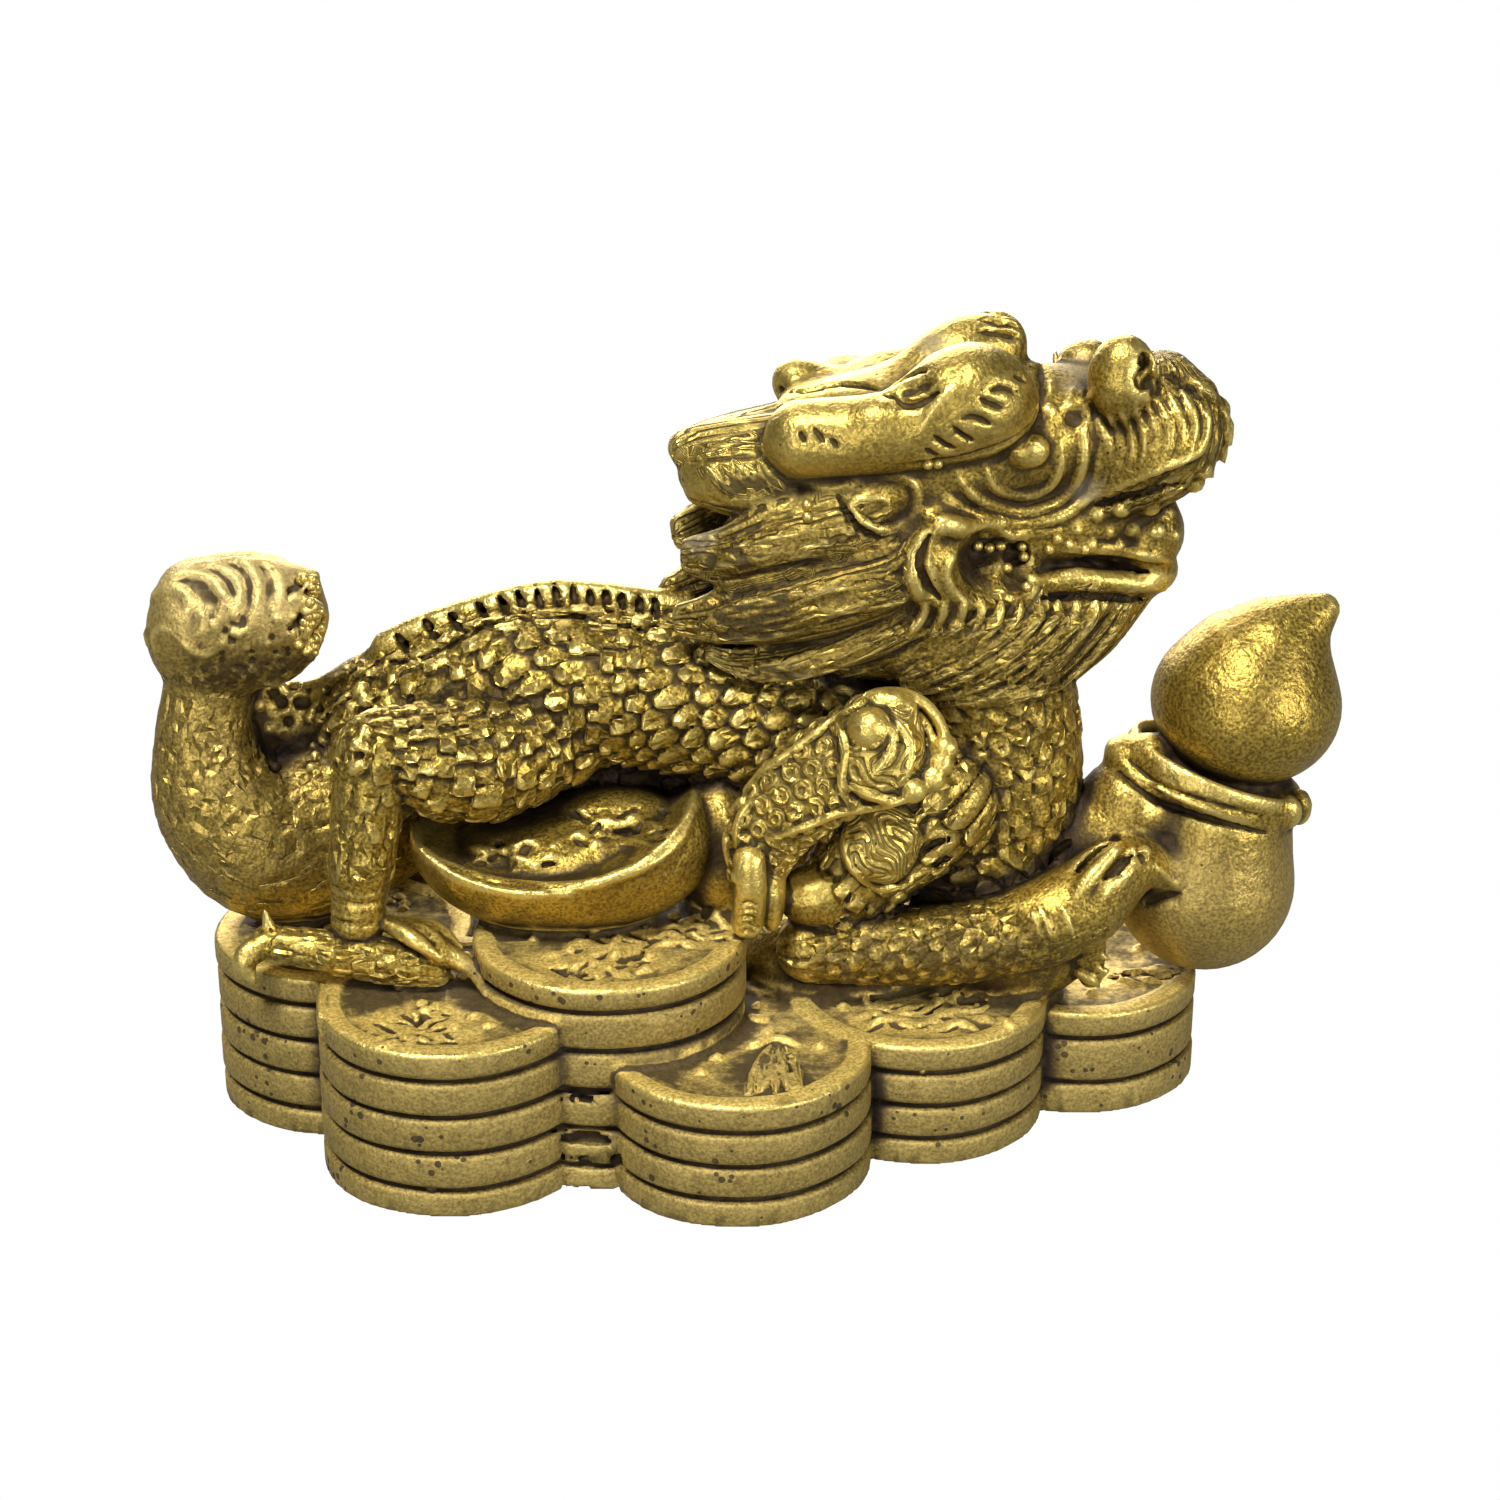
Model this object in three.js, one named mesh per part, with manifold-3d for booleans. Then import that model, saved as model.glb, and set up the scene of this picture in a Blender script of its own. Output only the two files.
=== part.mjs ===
// A small cast dragon lying over a bed of stacked coins, with an ingot, a bead-ringed ornament and a gourd.
// Millimetres, +Z up, +X towards the dragon's nose, -Y towards the side that faces the viewer.
// The origin is the middle of the flat underside of the coin bed.
import * as THREE from "three";
import { mergeVertices } from "three/addons/utils/BufferGeometryUtils.js";
import Module from "manifold-3d";

const wasm = await Module();
wasm.setup();

// Driving dimensions of the coin bed
const coinRadius = 7.8;
const tallCoinRadius = 8;
const bedHalfLength = 21.94;
const endCoinOffset = 1.29;
const grooveDepth = 0.5;
const grooveHeight = 0.15;
const coinSides = 16;
const ingotSides = 14;
const dishRadius = 16;
const dishSides = 24;

// Driving dimensions of the dragon
const headCentre = [14.3, 0.5, 38];
const headTurn = 8;
const clawRadius = 0.62;
const crestSpacing = 1.9;
const crestHeight = 1.15;
const crestWidth = 1.3;
const crestTurn = 5;

// Corners nearer to each other than this become one
const mergeDistance = 0.1;

// Driving dimensions of the gourd
const gourdLowerRadius = 5.3;
const gourdUpperRadius = 5.75;
const gourdFoot = [29.3, 0.2, 7.1];
const gourdTilt = 7.5;
const gourdNeckBend = 2.8;
const bandLean = 20;

const vector = ([x, y, z]) => new THREE.Vector3(x, y, z);
const radians = THREE.MathUtils.degToRad;

// A closed geometry as a solid that can be joined and cut
function solid(geometry) {
  const bare = geometry.clone();
  bare.deleteAttribute("normal");
  bare.deleteAttribute("uv");
  const merged = mergeVertices(bare, 1e-4);
  const triVerts = new Uint32Array(merged.index.array);
  const vertProperties = new Float32Array(merged.attributes.position.array);
  const made = new wasm.Manifold(new wasm.Mesh({ numProp: 3, vertProperties, triVerts }));
  if (made.volume() >= 0) return made;
  triVerts.reverse();
  return new wasm.Manifold(new wasm.Mesh({ numProp: 3, vertProperties, triVerts }));
}

const joined = (solids) => solids.flat(Infinity).reduce((whole, next) => whole.add(next));

// The same point on the other side of the body, and on the other side of the turned head
const acrossBody = ([x, y, z]) => [x, -y, z];

function acrossHead(point) {
  const side = new THREE.Vector3(-Math.sin(radians(headTurn)), Math.cos(radians(headTurn)), 0);
  const away = vector(point).sub(vector(headCentre)).dot(side);
  return vector(point).addScaledVector(side, -2 * away).toArray();
}

// A smooth value between the numbers that belong to evenly spaced points of a path
function valueAlong(values, share) {
  const curve = new THREE.CatmullRomCurve3(values.map((value, index) => new THREE.Vector3(index, value, 0)));
  return curve.getPoint(share).y;
}

// A round-ended limb along a smooth path. Widths are half widths, and flat is the height over the width.
// It is a sphere whose rings are moved onto the path, with the first and last few of them closing the ends.
function limb(path, widths, { sides = 6, steps = 4, flat = 1, up = [0, 0, 1], caps = 1 } = {}) {
  const curve = new THREE.CatmullRomCurve3(path.map(vector));
  const rings = steps + 2 * caps;
  const geometry = new THREE.SphereGeometry(1, sides, rings);
  const position = geometry.attributes.position;
  for (let ring = 0; ring <= rings; ring++) {
    const share = THREE.MathUtils.clamp((ring - caps) / steps, 0, 1);
    const capAngle = ((Math.PI / 2) * Math.min(ring, rings - ring, caps)) / caps;
    const halfWidth = valueAlong(widths, share);
    const halfHeight = halfWidth * flat;
    const tangent = curve.getTangent(share);
    const sideways = new THREE.Vector3().crossVectors(vector(up), tangent).normalize();
    const upwards = new THREE.Vector3().crossVectors(tangent, sideways);
    const push = Math.cos(capAngle) * Math.min(halfWidth, halfHeight) * (ring < rings / 2 ? -1 : 1);
    const centre = curve.getPoint(share).addScaledVector(tangent, push);
    for (let side = 0; side <= sides; side++) {
      const angle = (2 * Math.PI * (side % sides)) / sides;
      const point = centre.clone();
      point.addScaledVector(sideways, Math.sin(capAngle) * halfWidth * Math.cos(angle));
      point.addScaledVector(upwards, Math.sin(capAngle) * halfHeight * Math.sin(angle));
      position.setXYZ(ring * (sides + 1) + side, point.x, point.y, point.z);
    }
  }
  return solid(geometry);
}

// A rounded lump with its own three half sizes, tilted about Y and turned about Z, in degrees
function lump(centre, halves, { turn = 0, tilt = 0, sides = 8, rings = 5 } = {}) {
  const geometry = new THREE.SphereGeometry(1, sides, rings).rotateX(Math.PI / 2).scale(...halves);
  geometry.rotateY(radians(tilt)).rotateZ(radians(turn)).translate(...centre);
  return solid(geometry);
}

// A form turned about +Z: its outline lists radius and height, from the axis back to the axis
function turned(outline, sides) {
  const points = outline.map(([radius, height]) => new THREE.Vector2(radius, height));
  return new THREE.LatheGeometry(points, sides).rotateX(Math.PI / 2);
}

// A pair of limbs, the second one mirrored to the far side
const pair = (across, path, widths, options) => [
  limb(path, widths, options),
  limb(path.map(across), widths, options),
];

// Coins: each stack is one turned form, and each coin is cut in a little over the one it lies on
function coinStack({ x, y, firstSeam, pitch, seams, top, lift, radius = coinRadius }) {
  const outline = [[0, 0], [radius, 0]];
  for (let seam = 0; seam < seams; seam++) {
    const height = firstSeam + seam * pitch + lift;
    outline.push([radius, height], [radius - grooveDepth, height + grooveHeight]);
  }
  outline.push([radius, top + lift], [0, top + lift]);
  return solid(turned(outline, coinSides).translate(x, y, 0));
}

const highStack = { firstSeam: 1.54, pitch: 2.26, seams: 4, top: 10.2 };
const lowStack = { firstSeam: 1.54, pitch: 2.08, seams: 3, top: 7.6 };
const threeCoins = { firstSeam: 1.93, pitch: 2.91, seams: 2, top: 6.72 };
const tallStack = { firstSeam: 1.32, pitch: 2.4, seams: 5, top: 12.56 };

// Each stack was pressed by hand in the model, so each one is lifted a little differently
const stacks = [
  { x: -bedHalfLength, y: -endCoinOffset, ...highStack, lift: 0 },
  { x: -14.55, y: -10.46, ...highStack, lift: -0.06 },
  { x: -5.78, y: -7.21, ...tallStack, lift: 0, radius: tallCoinRadius },
  { x: 1.62, y: -11.52, ...lowStack, lift: -0.04 },
  { x: 12.16, y: -4.64, ...lowStack, lift: 0.03 },
  { x: bedHalfLength, y: endCoinOffset, ...threeCoins, lift: 0 },
  { x: 13.6, y: 8.2, ...lowStack, lift: -0.09 },
  { x: 0.6, y: 11.6, ...lowStack, lift: 0.08 },
  { x: -14.2, y: 9.9, ...highStack, lift: 0.07 },
];

// The middle of the bed is filled to just under the coin tops, higher under the hind legs than the chest
function slab(corners, height) {
  const outline = new THREE.Shape(corners.map(([x, y]) => new THREE.Vector2(x, y)));
  return solid(new THREE.ExtrudeGeometry(outline, { depth: height, bevelEnabled: false }));
}

const outerCentres = stacks.filter(({ top }) => top < tallStack.top).map(({ x, y }) => [x, y]);
const hindCorners = [
  [-bedHalfLength, -endCoinOffset],
  [-14.55, -10.46],
  [-2, -8],
  [0, 6],
  [-14.2, 9.9],
];
const bedCore = [
  slab(outerCentres, lowStack.top - 0.6),
  slab(hindCorners, highStack.top - 0.5),
  lump([7.5, -1, 6.2], [6.4, 5.4, 5.2]),
];

const coinBed = joined([stacks.map(coinStack), bedCore]);

// The body arches from the rump up over the ingot and down to the chest, and the neck rises out of it
const spine = [
  [-19, 1.3, 22.1],
  [-14, 0.8, 23.8],
  [-8.6, 0.1, 25],
  [-2.6, 0, 24.4],
  [5, 0, 22],
  [12.5, 0, 18.4],
  [16.4, 0, 15],
];
const neckPath = [
  [16.6, 0, 13.5],
  [17, 0, 20],
  [15.5, 0, 27],
  [12.5, 0, 34],
];
const body = limb(spine, [3.8, 5, 5.4, 5.1, 5, 5.2, 5], { sides: 12, steps: 9, caps: 2 });
const neck = limb(neckPath, [4.7, 4.9, 5.2, 5.4], { sides: 9, steps: 3, up: [1, 0, 0] });

// A thin toothed ridge follows the back: a tooth at each scute, in the plane of the body
function crest() {
  const ridge = [
    [-18.6, 26.9],
    [-15.7, 28],
    [-12, 29.3],
    [-8.6, 29.9],
    [-5.1, 29.8],
    [-1.6, 28.9],
  ];
  const curve = new THREE.SplineCurve(ridge.map(([x, z]) => new THREE.Vector2(x, z)));
  const teeth = Math.round(curve.getLength() / crestSpacing);
  const outline = [];
  for (let tooth = 0; tooth < teeth; tooth++) {
    const low = curve.getPoint(tooth / teeth);
    const high = curve.getPoint((tooth + 0.55) / teeth);
    outline.push(new THREE.Vector2(low.x, low.y + crestHeight * 0.65));
    outline.push(new THREE.Vector2(high.x, high.y + crestHeight));
  }
  outline.push(new THREE.Vector2(-1.6, 26), new THREE.Vector2(-18.6, 23));
  const shape = new THREE.Shape(outline);
  const blade = new THREE.ExtrudeGeometry(shape, { depth: crestWidth, bevelEnabled: false });
  blade.rotateX(Math.PI / 2).translate(0, 0.5 * crestWidth, 0);
  return solid(blade.rotateZ(radians(-crestTurn)).translate(0, 0.2, 0));
}

// Legs: the near hind leg stands on the coins, and its foot spreads along the rims of two stacks
const thigh = [
  [-8.8, -3, 22.7],
  [-13.8, -5.2, 22.2],
  [-18.4, -6.7, 23.4],
];
const shin = [
  [-18.8, -6.9, 23.2],
  [-19.3, -7.4, 19],
  [-20, -8.2, 13.6],
];
const foot = [
  [-25.4, -8.4, 12.2],
  [-20.4, -9, 11.9],
  [-15, -9.5, 11.4],
];
const hindClaws = [
  [
    [-25.4, -8.6, 12.3],
    [-26.3, -9.3, 11.4],
    [-25.8, -9.7, 9.9],
  ],
  [
    [-15, -9.5, 12],
    [-13, -10.4, 11.6],
    [-12.4, -11.3, 10.4],
  ],
  [
    [-17, -9, 12.6],
    [-13, -10.8, 12],
    [-11.2, -12.6, 10.4],
  ],
];

function hindLeg(across, claws) {
  return [
    limb(thigh.map(across), [4.2, 3.8, 2.1], { sides: 9 }),
    limb(shin.map(across), [2.2, 1.9, 1.5], { steps: 3, up: [1, 0, 0] }),
    limb(foot.map(across), [1, 1.4, 1.1]),
    claws.map((claw) => limb(claw.map(across), [clawRadius, clawRadius, 0.3], { sides: 4, steps: 2 })),
  ];
}

const same = (point) => point;
const hindLegs = [hindLeg(same, hindClaws), hindLeg(acrossBody, hindClaws.slice(2))];

// The near foreleg lies along the coins and its paw grips the gourd; the far paw holds the gourd's waist
const forelegPath = [
  [4.8, -5.1, 10.2],
  [9.5, -5.8, 10.7],
  [14, -6, 11],
  [18.6, -6, 12.2],
  [22.2, -5.5, 13.9],
  [25.4, -4, 15],
];
const shoulderPath = [
  [13, -3, 19],
  [9.2, -4.4, 15.7],
  [6.6, -4.8, 12],
];
const farForelegPath = [
  [16, 2.6, 14.6],
  [20.2, 1.6, 14.4],
  [23.4, 1, 16],
  [25, 0.6, 19.4],
];
const foreleg = limb(forelegPath, [2, 2.3, 2.4, 2.4, 2.2, 1.3], { steps: 6 });
const shoulder = limb(shoulderPath, [4, 3.2, 2.3], { steps: 3 });
const farForeleg = limb(farForelegPath, [3.8, 3.7, 3.1, 1.9]);
const clawPaths = [
  [
    [23.8, -5, 15],
    [25.8, -4.8, 15],
    [27.6, -4.4, 13.7],
  ],
  [
    [23.2, -4.8, 15.6],
    [24.8, -4.4, 16.5],
    [26.8, -4.1, 15.9],
  ],
  [
    [22.4, -5.6, 12.4],
    [22.8, -5.6, 10.4],
    [22.8, -5.4, 8.4],
  ],
  [
    [24.4, 1.6, 20.6],
    [26, 0.2, 20.4],
    [27.3, -1.3, 19.4],
  ],
  [
    [24.2, 3, 19],
    [26, 4.4, 17.8],
    [28, 4.8, 16.8],
  ],
];
const foreClaws = clawPaths.map((claw) => limb(claw, [0.8, 0.7, 0.35], { sides: 4, steps: 2 }));

// The tail leaves the rump, dips to the coins, curls up at the left end and spreads into a ragged tuft
const tailPath = [
  [-17, 2, 19.8],
  [-21.5, 1.3, 15.8],
  [-26, -0.3, 14.6],
  [-29, -0.7, 17.4],
  [-29.7, -0.4, 21.4],
  [-29.2, 0, 25.6],
];
const tuftPaths = [
  [
    [-30.3, 0, 28.4],
    [-27.6, 0, 28.9],
    [-24.6, 0, 29.1],
  ],
  [
    [-30, 0, 26.8],
    [-27.6, 0, 26.6],
    [-24.6, 0, 27],
  ],
  [
    [-30, 0, 30.4],
    [-27, 0, 31.2],
    [-24, 0, 30.9],
  ],
];
const webPath = [
  [-28.4, 1.6, 21.6],
  [-23.6, 2.4, 21.2],
  [-18.4, 1.8, 22],
];
const tail = limb(tailPath, [4.4, 4.7, 4.2, 3.5, 2.7, 2.6], { steps: 8, sides: 8 });
const tuft = [
  limb(tuftPaths[0], [2.8, 3, 2.4], { sides: 8, steps: 2 }),
  limb(tuftPaths[1], [2, 2.1, 1.5], { steps: 2 }),
  limb(tuftPaths[2], [1.7, 1.6, 1.3], { steps: 2 }),
];
const web = limb(webPath, [1.5, 1.2, 2], { flat: 2.5, steps: 2 });

// Skull, snout and jaws, all lying along the turned middle of the head
const snoutPath = [
  [15, 0.5, 39.6],
  [20, 1.2, 40],
  [24.8, 1.6, 39.8],
];
const lowerJawPath = [
  [15.5, 0.5, 32],
  [20.5, 1.2, 31.4],
  [25.4, 1.4, 31.7],
];
const snoutTopPath = [
  [17, 0.6, 42.4],
  [20.4, 1.1, 42.1],
  [23, 1.5, 42.1],
];
const skull = [
  lump([11.6, 0, 38.8], [6.6, 5.2, 4.8], { turn: headTurn }),
  limb(snoutPath, [4.7, 4.2, 3.4], { flat: 0.86, sides: 10 }),
  lump([18.5, 0.9, 35.2], [7.8, 3.4, 4.2], { turn: headTurn }),
  limb(lowerJawPath, [4.1, 3.4, 2.4], { flat: 0.38 }),
  limb(snoutTopPath, [1.9, 1.4, 1.5], { steps: 3 }),
  lump([25, 1, 33.9], [2.3, 2.6, 2.2], { sides: 7, rings: 4 }),
];
const nostrils = [
  lump([22.9, -1.8, 43.6], [2, 1.8, 2.1]),
  lump([21.5, 3, 43.2], [1.7, 1.5, 1.5], { sides: 6, rings: 4 }),
];
const eyeCentre = [17.6, -4, 39.9];
const eyes = [eyeCentre, acrossHead(eyeCentre)].map((at) => lump(at, [1.3, 1, 1.2], { sides: 6, rings: 4 }));
const nearHornPath = [
  [5.6, -4.4, 40.8],
  [9.4, -4.6, 41.1],
  [12.4, -4.2, 42],
  [14.8, -3.6, 42.7],
];
const farHornPath = [
  [5.2, 3, 42.1],
  [9.4, 3, 42.3],
  [13.4, 3, 43.4],
];
const crownPath = [
  [11.8, 0.6, 42.6],
  [14.1, 1.2, 43.8],
  [15.8, 1.7, 44.7],
];
const horns = [
  limb(nearHornPath, [1.9, 2, 2.6, 3.1], { steps: 5, caps: 2 }),
  limb(farHornPath, [1.5, 1.4, 1.7], { steps: 3 }),
];
const crown = limb(crownPath, [2.1, 2.4, 2], { steps: 2, sides: 8, caps: 2 });
const earPath = [
  [10.8, -4.9, 37.7],
  [8.8, -5.3, 37.4],
  [6, -5, 38.1],
];
const ears = pair(acrossHead, earPath, [1.2, 1.4, 0.7], { sides: 5, flat: 0.5, up: [0, 1, 0.3], steps: 2 });
const upperLobePath = [
  [6, 0, 39.6],
  [2, -0.3, 39.2],
  [-0.6, -0.6, 39.1],
];
const sideLobePath = [
  [7, -3.2, 38],
  [2.4, -3, 37.8],
  [-0.4, -2.5, 37.7],
];
const backLobes = [
  limb(upperLobePath, [3.1, 2.8, 1.7], { flat: 0.55, steps: 3 }),
  pair(acrossHead, sideLobePath, [1.8, 1.7, 1], { flat: 0.9, steps: 3 }),
];

// Face relief on both sides: brow and cheek ridges, moustache and beard locks
const faceStrands = [
  {
    path: [
      [21, -3, 41],
      [18.4, -4.4, 37.8],
      [13.6, -5.2, 36.6],
    ],
    widths: [0.7, 0.9, 0.9],
  },
  {
    path: [
      [12.6, -4.6, 36],
      [12, -5, 33.6],
      [13.4, -4.8, 31.4],
    ],
    widths: [1.4, 1.5, 1.2],
  },
  {
    path: [
      [25.7, 0.4, 42.2],
      [26, -0.5, 40],
      [24.4, -0.8, 37.8],
      [22, -0.9, 36.6],
    ],
    widths: [1.9, 2.7, 2.1, 1],
  },
  {
    path: [
      [18, -3, 31.4],
      [15.4, -4.1, 28.9],
      [11.2, -4.4, 26.8],
    ],
    widths: [1.5, 1.7, 1],
  },
  {
    path: [
      [21.6, -1.8, 31],
      [18.6, -3.2, 28],
      [15, -3.6, 25.8],
    ],
    widths: [1.4, 1.6, 1],
  },
  {
    path: [
      [23.6, -0.8, 30.8],
      [21.2, -1.7, 28],
      [18.2, -2.4, 25.4],
    ],
    widths: [1.2, 1.4, 0.9],
  },
];
const face = faceStrands.map(({ path, widths }) => pair(acrossHead, path, widths, { sides: 5, steps: 3 }));

// Mane: a mass behind the cheeks, and three long locks a side that sweep back over the body
const maneLocks = [
  {
    path: [
      [9.6, -4.4, 36.8],
      [4.6, -4.7, 35.3],
      [-0.8, -3.6, 34],
    ],
    widths: [1.4, 1.9, 1.1],
  },
  {
    path: [
      [11.4, -4.8, 34.4],
      [6.2, -5, 32.2],
      [-1.2, -4, 30.4],
    ],
    widths: [1.6, 2.1, 1.1],
  },
  {
    path: [
      [11.4, -4.7, 30.6],
      [5.4, -4.9, 28.5],
      [0, -4.3, 28.3],
    ],
    widths: [1.6, 1.4, 0.6],
  },
];
const beardPath = [
  [21, 0.4, 29.8],
  [16, -0.2, 29],
  [9, -0.3, 29.4],
];
const mane = [
  lump([7, 0.2, 32.2], [6.2, 5.2, 5.4]),
  limb(beardPath, [2.4, 4, 4.2], { flat: 0.8, steps: 3, sides: 8 }),
  maneLocks.map(({ path, widths }) => pair(acrossHead, path, widths, { sides: 5, flat: 0.8, steps: 2 })),
];

// The boat-shaped ingot: a hull with upturned ends, dished on top
function ingot() {
  const hull = lump([-8.6, -3.4, 17.4], [9.6, 5.9, 5.4], { sides: ingotSides, rings: 7 });
  const above = turned([[0, -9], [dishRadius, -9], [dishRadius, 9], [0, 9]], dishSides).rotateX(Math.PI / 2);
  return hull.subtract(solid(above.translate(-9.8, -3, 31.2)));
}

const ingotMound = lump([-7, -2, 16.4], [6, 4, 4.2]);
const post = limb([[-0.4, -6, 13], [-0.2, -6, 17.2]], [0.8, 0.6], { steps: 1, up: [1, 0, 0] });

// The ornament: a bead field between a rolled foot and a lobed head, leaning on the foreleg
const staffPath = [
  [2.4, -6.6, 13.6],
  [3.3, -7.2, 18.6],
  [6.2, -7.7, 21.6],
  [9.6, -7.9, 24.1],
];
const footPath = [
  [2.3, -8, 17.2],
  [2.35, -8, 15.4],
  [2.2, -7.8, 13.4],
];
const ornament = [
  limb(staffPath, [1.7, 2.4, 2.5, 2.8], { up: [0, 1, 0.4], flat: 0.45, steps: 4 }),
  lump([9.8, -7.9, 24], [3.1, 1.6, 3.2]),
  lump([9, -9.3, 25.2], [1.2, 0.9, 1.1], { sides: 6, rings: 4 }),
  lump([10, -7, 18.1], [2.5, 1.8, 2.5], { sides: 7, rings: 4 }),
  limb(footPath, [0.95, 1, 0.9], { steps: 2, up: [1, 0, 0] }),
];

// The gourd: two bulbs and a bent neck turned as one
function gourd() {
  const waist = 2 * gourdLowerRadius - 0.3;
  const outline = [[0, 0]];
  for (let step = 1; step <= 6; step++) {
    const angle = (step / 7) * Math.PI;
    outline.push([gourdLowerRadius * Math.sin(angle), gourdLowerRadius * (1 - Math.cos(angle))]);
  }
  for (let step = 1; step <= 5; step++) {
    const angle = (step / 7) * Math.PI;
    const height = waist + 0.9 * gourdUpperRadius * (1 - Math.cos(angle));
    outline.push([gourdUpperRadius * Math.sin(angle), height]);
  }
  outline.push([2.6, waist + 10.6], [1.2, waist + 12.4], [0, waist + 13.4]);
  const geometry = turned(outline, 13);
  const position = geometry.attributes.position;
  for (let index = 0; index < position.count; index++) {
    const rise = Math.max(0, position.getZ(index) - waist - 6) / 7;
    position.setX(index, position.getX(index) + gourdNeckBend * rise * rise);
  }
  return solid(geometry.rotateY(radians(gourdTilt)).translate(...gourdFoot));
}

// The ribbon is tied round the waist a little aslant, and its knot sits on the outer side
const bandOutline = [
  [0, -1],
  [4.3, -0.8],
  [4.6, 0.8],
  [0, 1],
];
const bandForm = turned(bandOutline, 12).scale(1.08, 1, 1).rotateY(radians(bandLean));
const band = solid(bandForm.translate(29.7, 0.2, 19));
const knot = lump([33.9, -1.6, 17.8], [1, 1.5, 1.2], { sides: 6, rings: 4 });

const whole = joined([
  coinBed,
  body,
  neck,
  crest(),
  hindLegs,
  foreleg,
  shoulder,
  farForeleg,
  foreClaws,
  tail,
  tuft,
  web,
  skull,
  nostrils,
  eyes,
  horns,
  crown,
  ears,
  backLobes,
  face,
  mane,
  ingot(),
  ingotMound,
  post,
  ornament,
  gourd(),
  band,
  knot,
]);

// Spaces shut in between the joined forms are solid resin, so only the outer skin is kept
// The slivers left where two forms cross are merged away
const larger = (one, other) => (one.volume() > other.volume() ? one : other);
const casting = whole.decompose().reduce(larger).simplify(mergeDistance);

// The joined solid as a three.js geometry
function geometryOf(made) {
  const mesh = made.getMesh();
  const geometry = new THREE.BufferGeometry();
  geometry.setAttribute("position", new THREE.BufferAttribute(new Float32Array(mesh.vertProperties), 3));
  geometry.setIndex(new THREE.BufferAttribute(new Uint32Array(mesh.triVerts), 1));
  geometry.computeVertexNormals();
  return geometry;
}

// Gold-coloured paint over cast resin, worn darker in the hollows
const paintedResin = new THREE.MeshStandardMaterial({ color: 0xb08d3a, roughness: 0.5, metalness: 0.6 });

const dragonFigure = new THREE.Mesh(geometryOf(casting), paintedResin);
dragonFigure.name = "dragon_figure";

const object = new THREE.Group();
object.add(dragonFigure);
export default object;
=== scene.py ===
"""A small cast dragon over a bed of coins, in gold-coloured paint: one solid resin souvenir."""

import math

import bpy
import numpy as np
import openvdb
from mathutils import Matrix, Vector


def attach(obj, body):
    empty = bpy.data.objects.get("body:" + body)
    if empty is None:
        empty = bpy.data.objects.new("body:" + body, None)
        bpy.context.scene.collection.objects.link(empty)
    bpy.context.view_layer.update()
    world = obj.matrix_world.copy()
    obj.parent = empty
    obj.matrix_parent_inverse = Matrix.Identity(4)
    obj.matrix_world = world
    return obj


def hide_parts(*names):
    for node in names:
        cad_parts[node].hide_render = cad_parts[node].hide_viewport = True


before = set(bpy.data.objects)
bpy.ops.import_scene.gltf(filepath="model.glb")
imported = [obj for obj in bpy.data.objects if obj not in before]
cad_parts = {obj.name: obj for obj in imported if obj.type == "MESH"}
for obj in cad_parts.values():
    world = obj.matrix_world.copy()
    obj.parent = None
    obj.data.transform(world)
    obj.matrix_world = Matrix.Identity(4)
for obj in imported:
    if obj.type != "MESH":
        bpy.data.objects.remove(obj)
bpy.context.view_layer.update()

# THE COIN BED
# Nine short stacks of coins carry the dragon: the same resin, cast in one with everything on top of it.
# The form is modelled in one block of small cells, each holding its distance from the skin in millimetres.
cell = 0.155
block_corner = np.array([-33.6, -20.2, -0.6])
block_size = np.array([71.0, 40.2, 48.2])
block_cells = np.ceil(block_size / cell).astype(int)
far_away = 3.0
block = np.full(block_cells, far_away, np.float32)

# Each cell also holds the number of its form, and where it lies on that form's own drawn surface
drawn = np.zeros((4, *block_cells), np.float16)
most_forms = 2000
forms = 0


def window(lowest, highest):
    """The cells inside a box: their slices in the block, and their coordinates along each axis."""
    first = np.clip(np.floor((np.asarray(lowest) - block_corner) / cell).astype(int), 0, block_cells - 1)
    last = np.clip(np.ceil((np.asarray(highest) - block_corner) / cell).astype(int) + 1, 1, block_cells)
    axes = [(block_corner[i] + cell * np.arange(first[i], last[i])).astype(np.float32) for i in range(3)]
    slices = tuple(slice(a, b) for a, b in zip(first, last))
    return slices, axes[0][:, None, None], axes[1][None, :, None], axes[2][None, None, :]


def add(slices, distance, soft=0.3, pattern=None):
    """Joins a form to the block, with a fillet of about that size.
    pattern is where each cell lies on the form's own drawn surface: along it, round it, and of what kind."""
    global forms
    forms += 1
    old = block[slices]
    taken = distance < old
    for layer, values in enumerate([forms % most_forms] + list(pattern or (0, 0, 0))):
        part = drawn[(layer, *slices)]
        part[taken] = values[taken] if isinstance(values, np.ndarray) else values
    near = np.maximum(soft - np.abs(old - distance), 0.0)
    block[slices] = np.minimum(old, distance) - near * near * (0.25 / max(soft, 1e-6))


def cut(slices, distance, soft=0.3, pattern=None):
    """Takes a form out of the block, with edges rounded by about that size."""
    old = block[slices]
    near = np.maximum(soft - np.abs(old + distance), 0.0)
    block[slices] = np.maximum(old, -distance) + near * near * (0.25 / max(soft, 1e-6))


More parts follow.
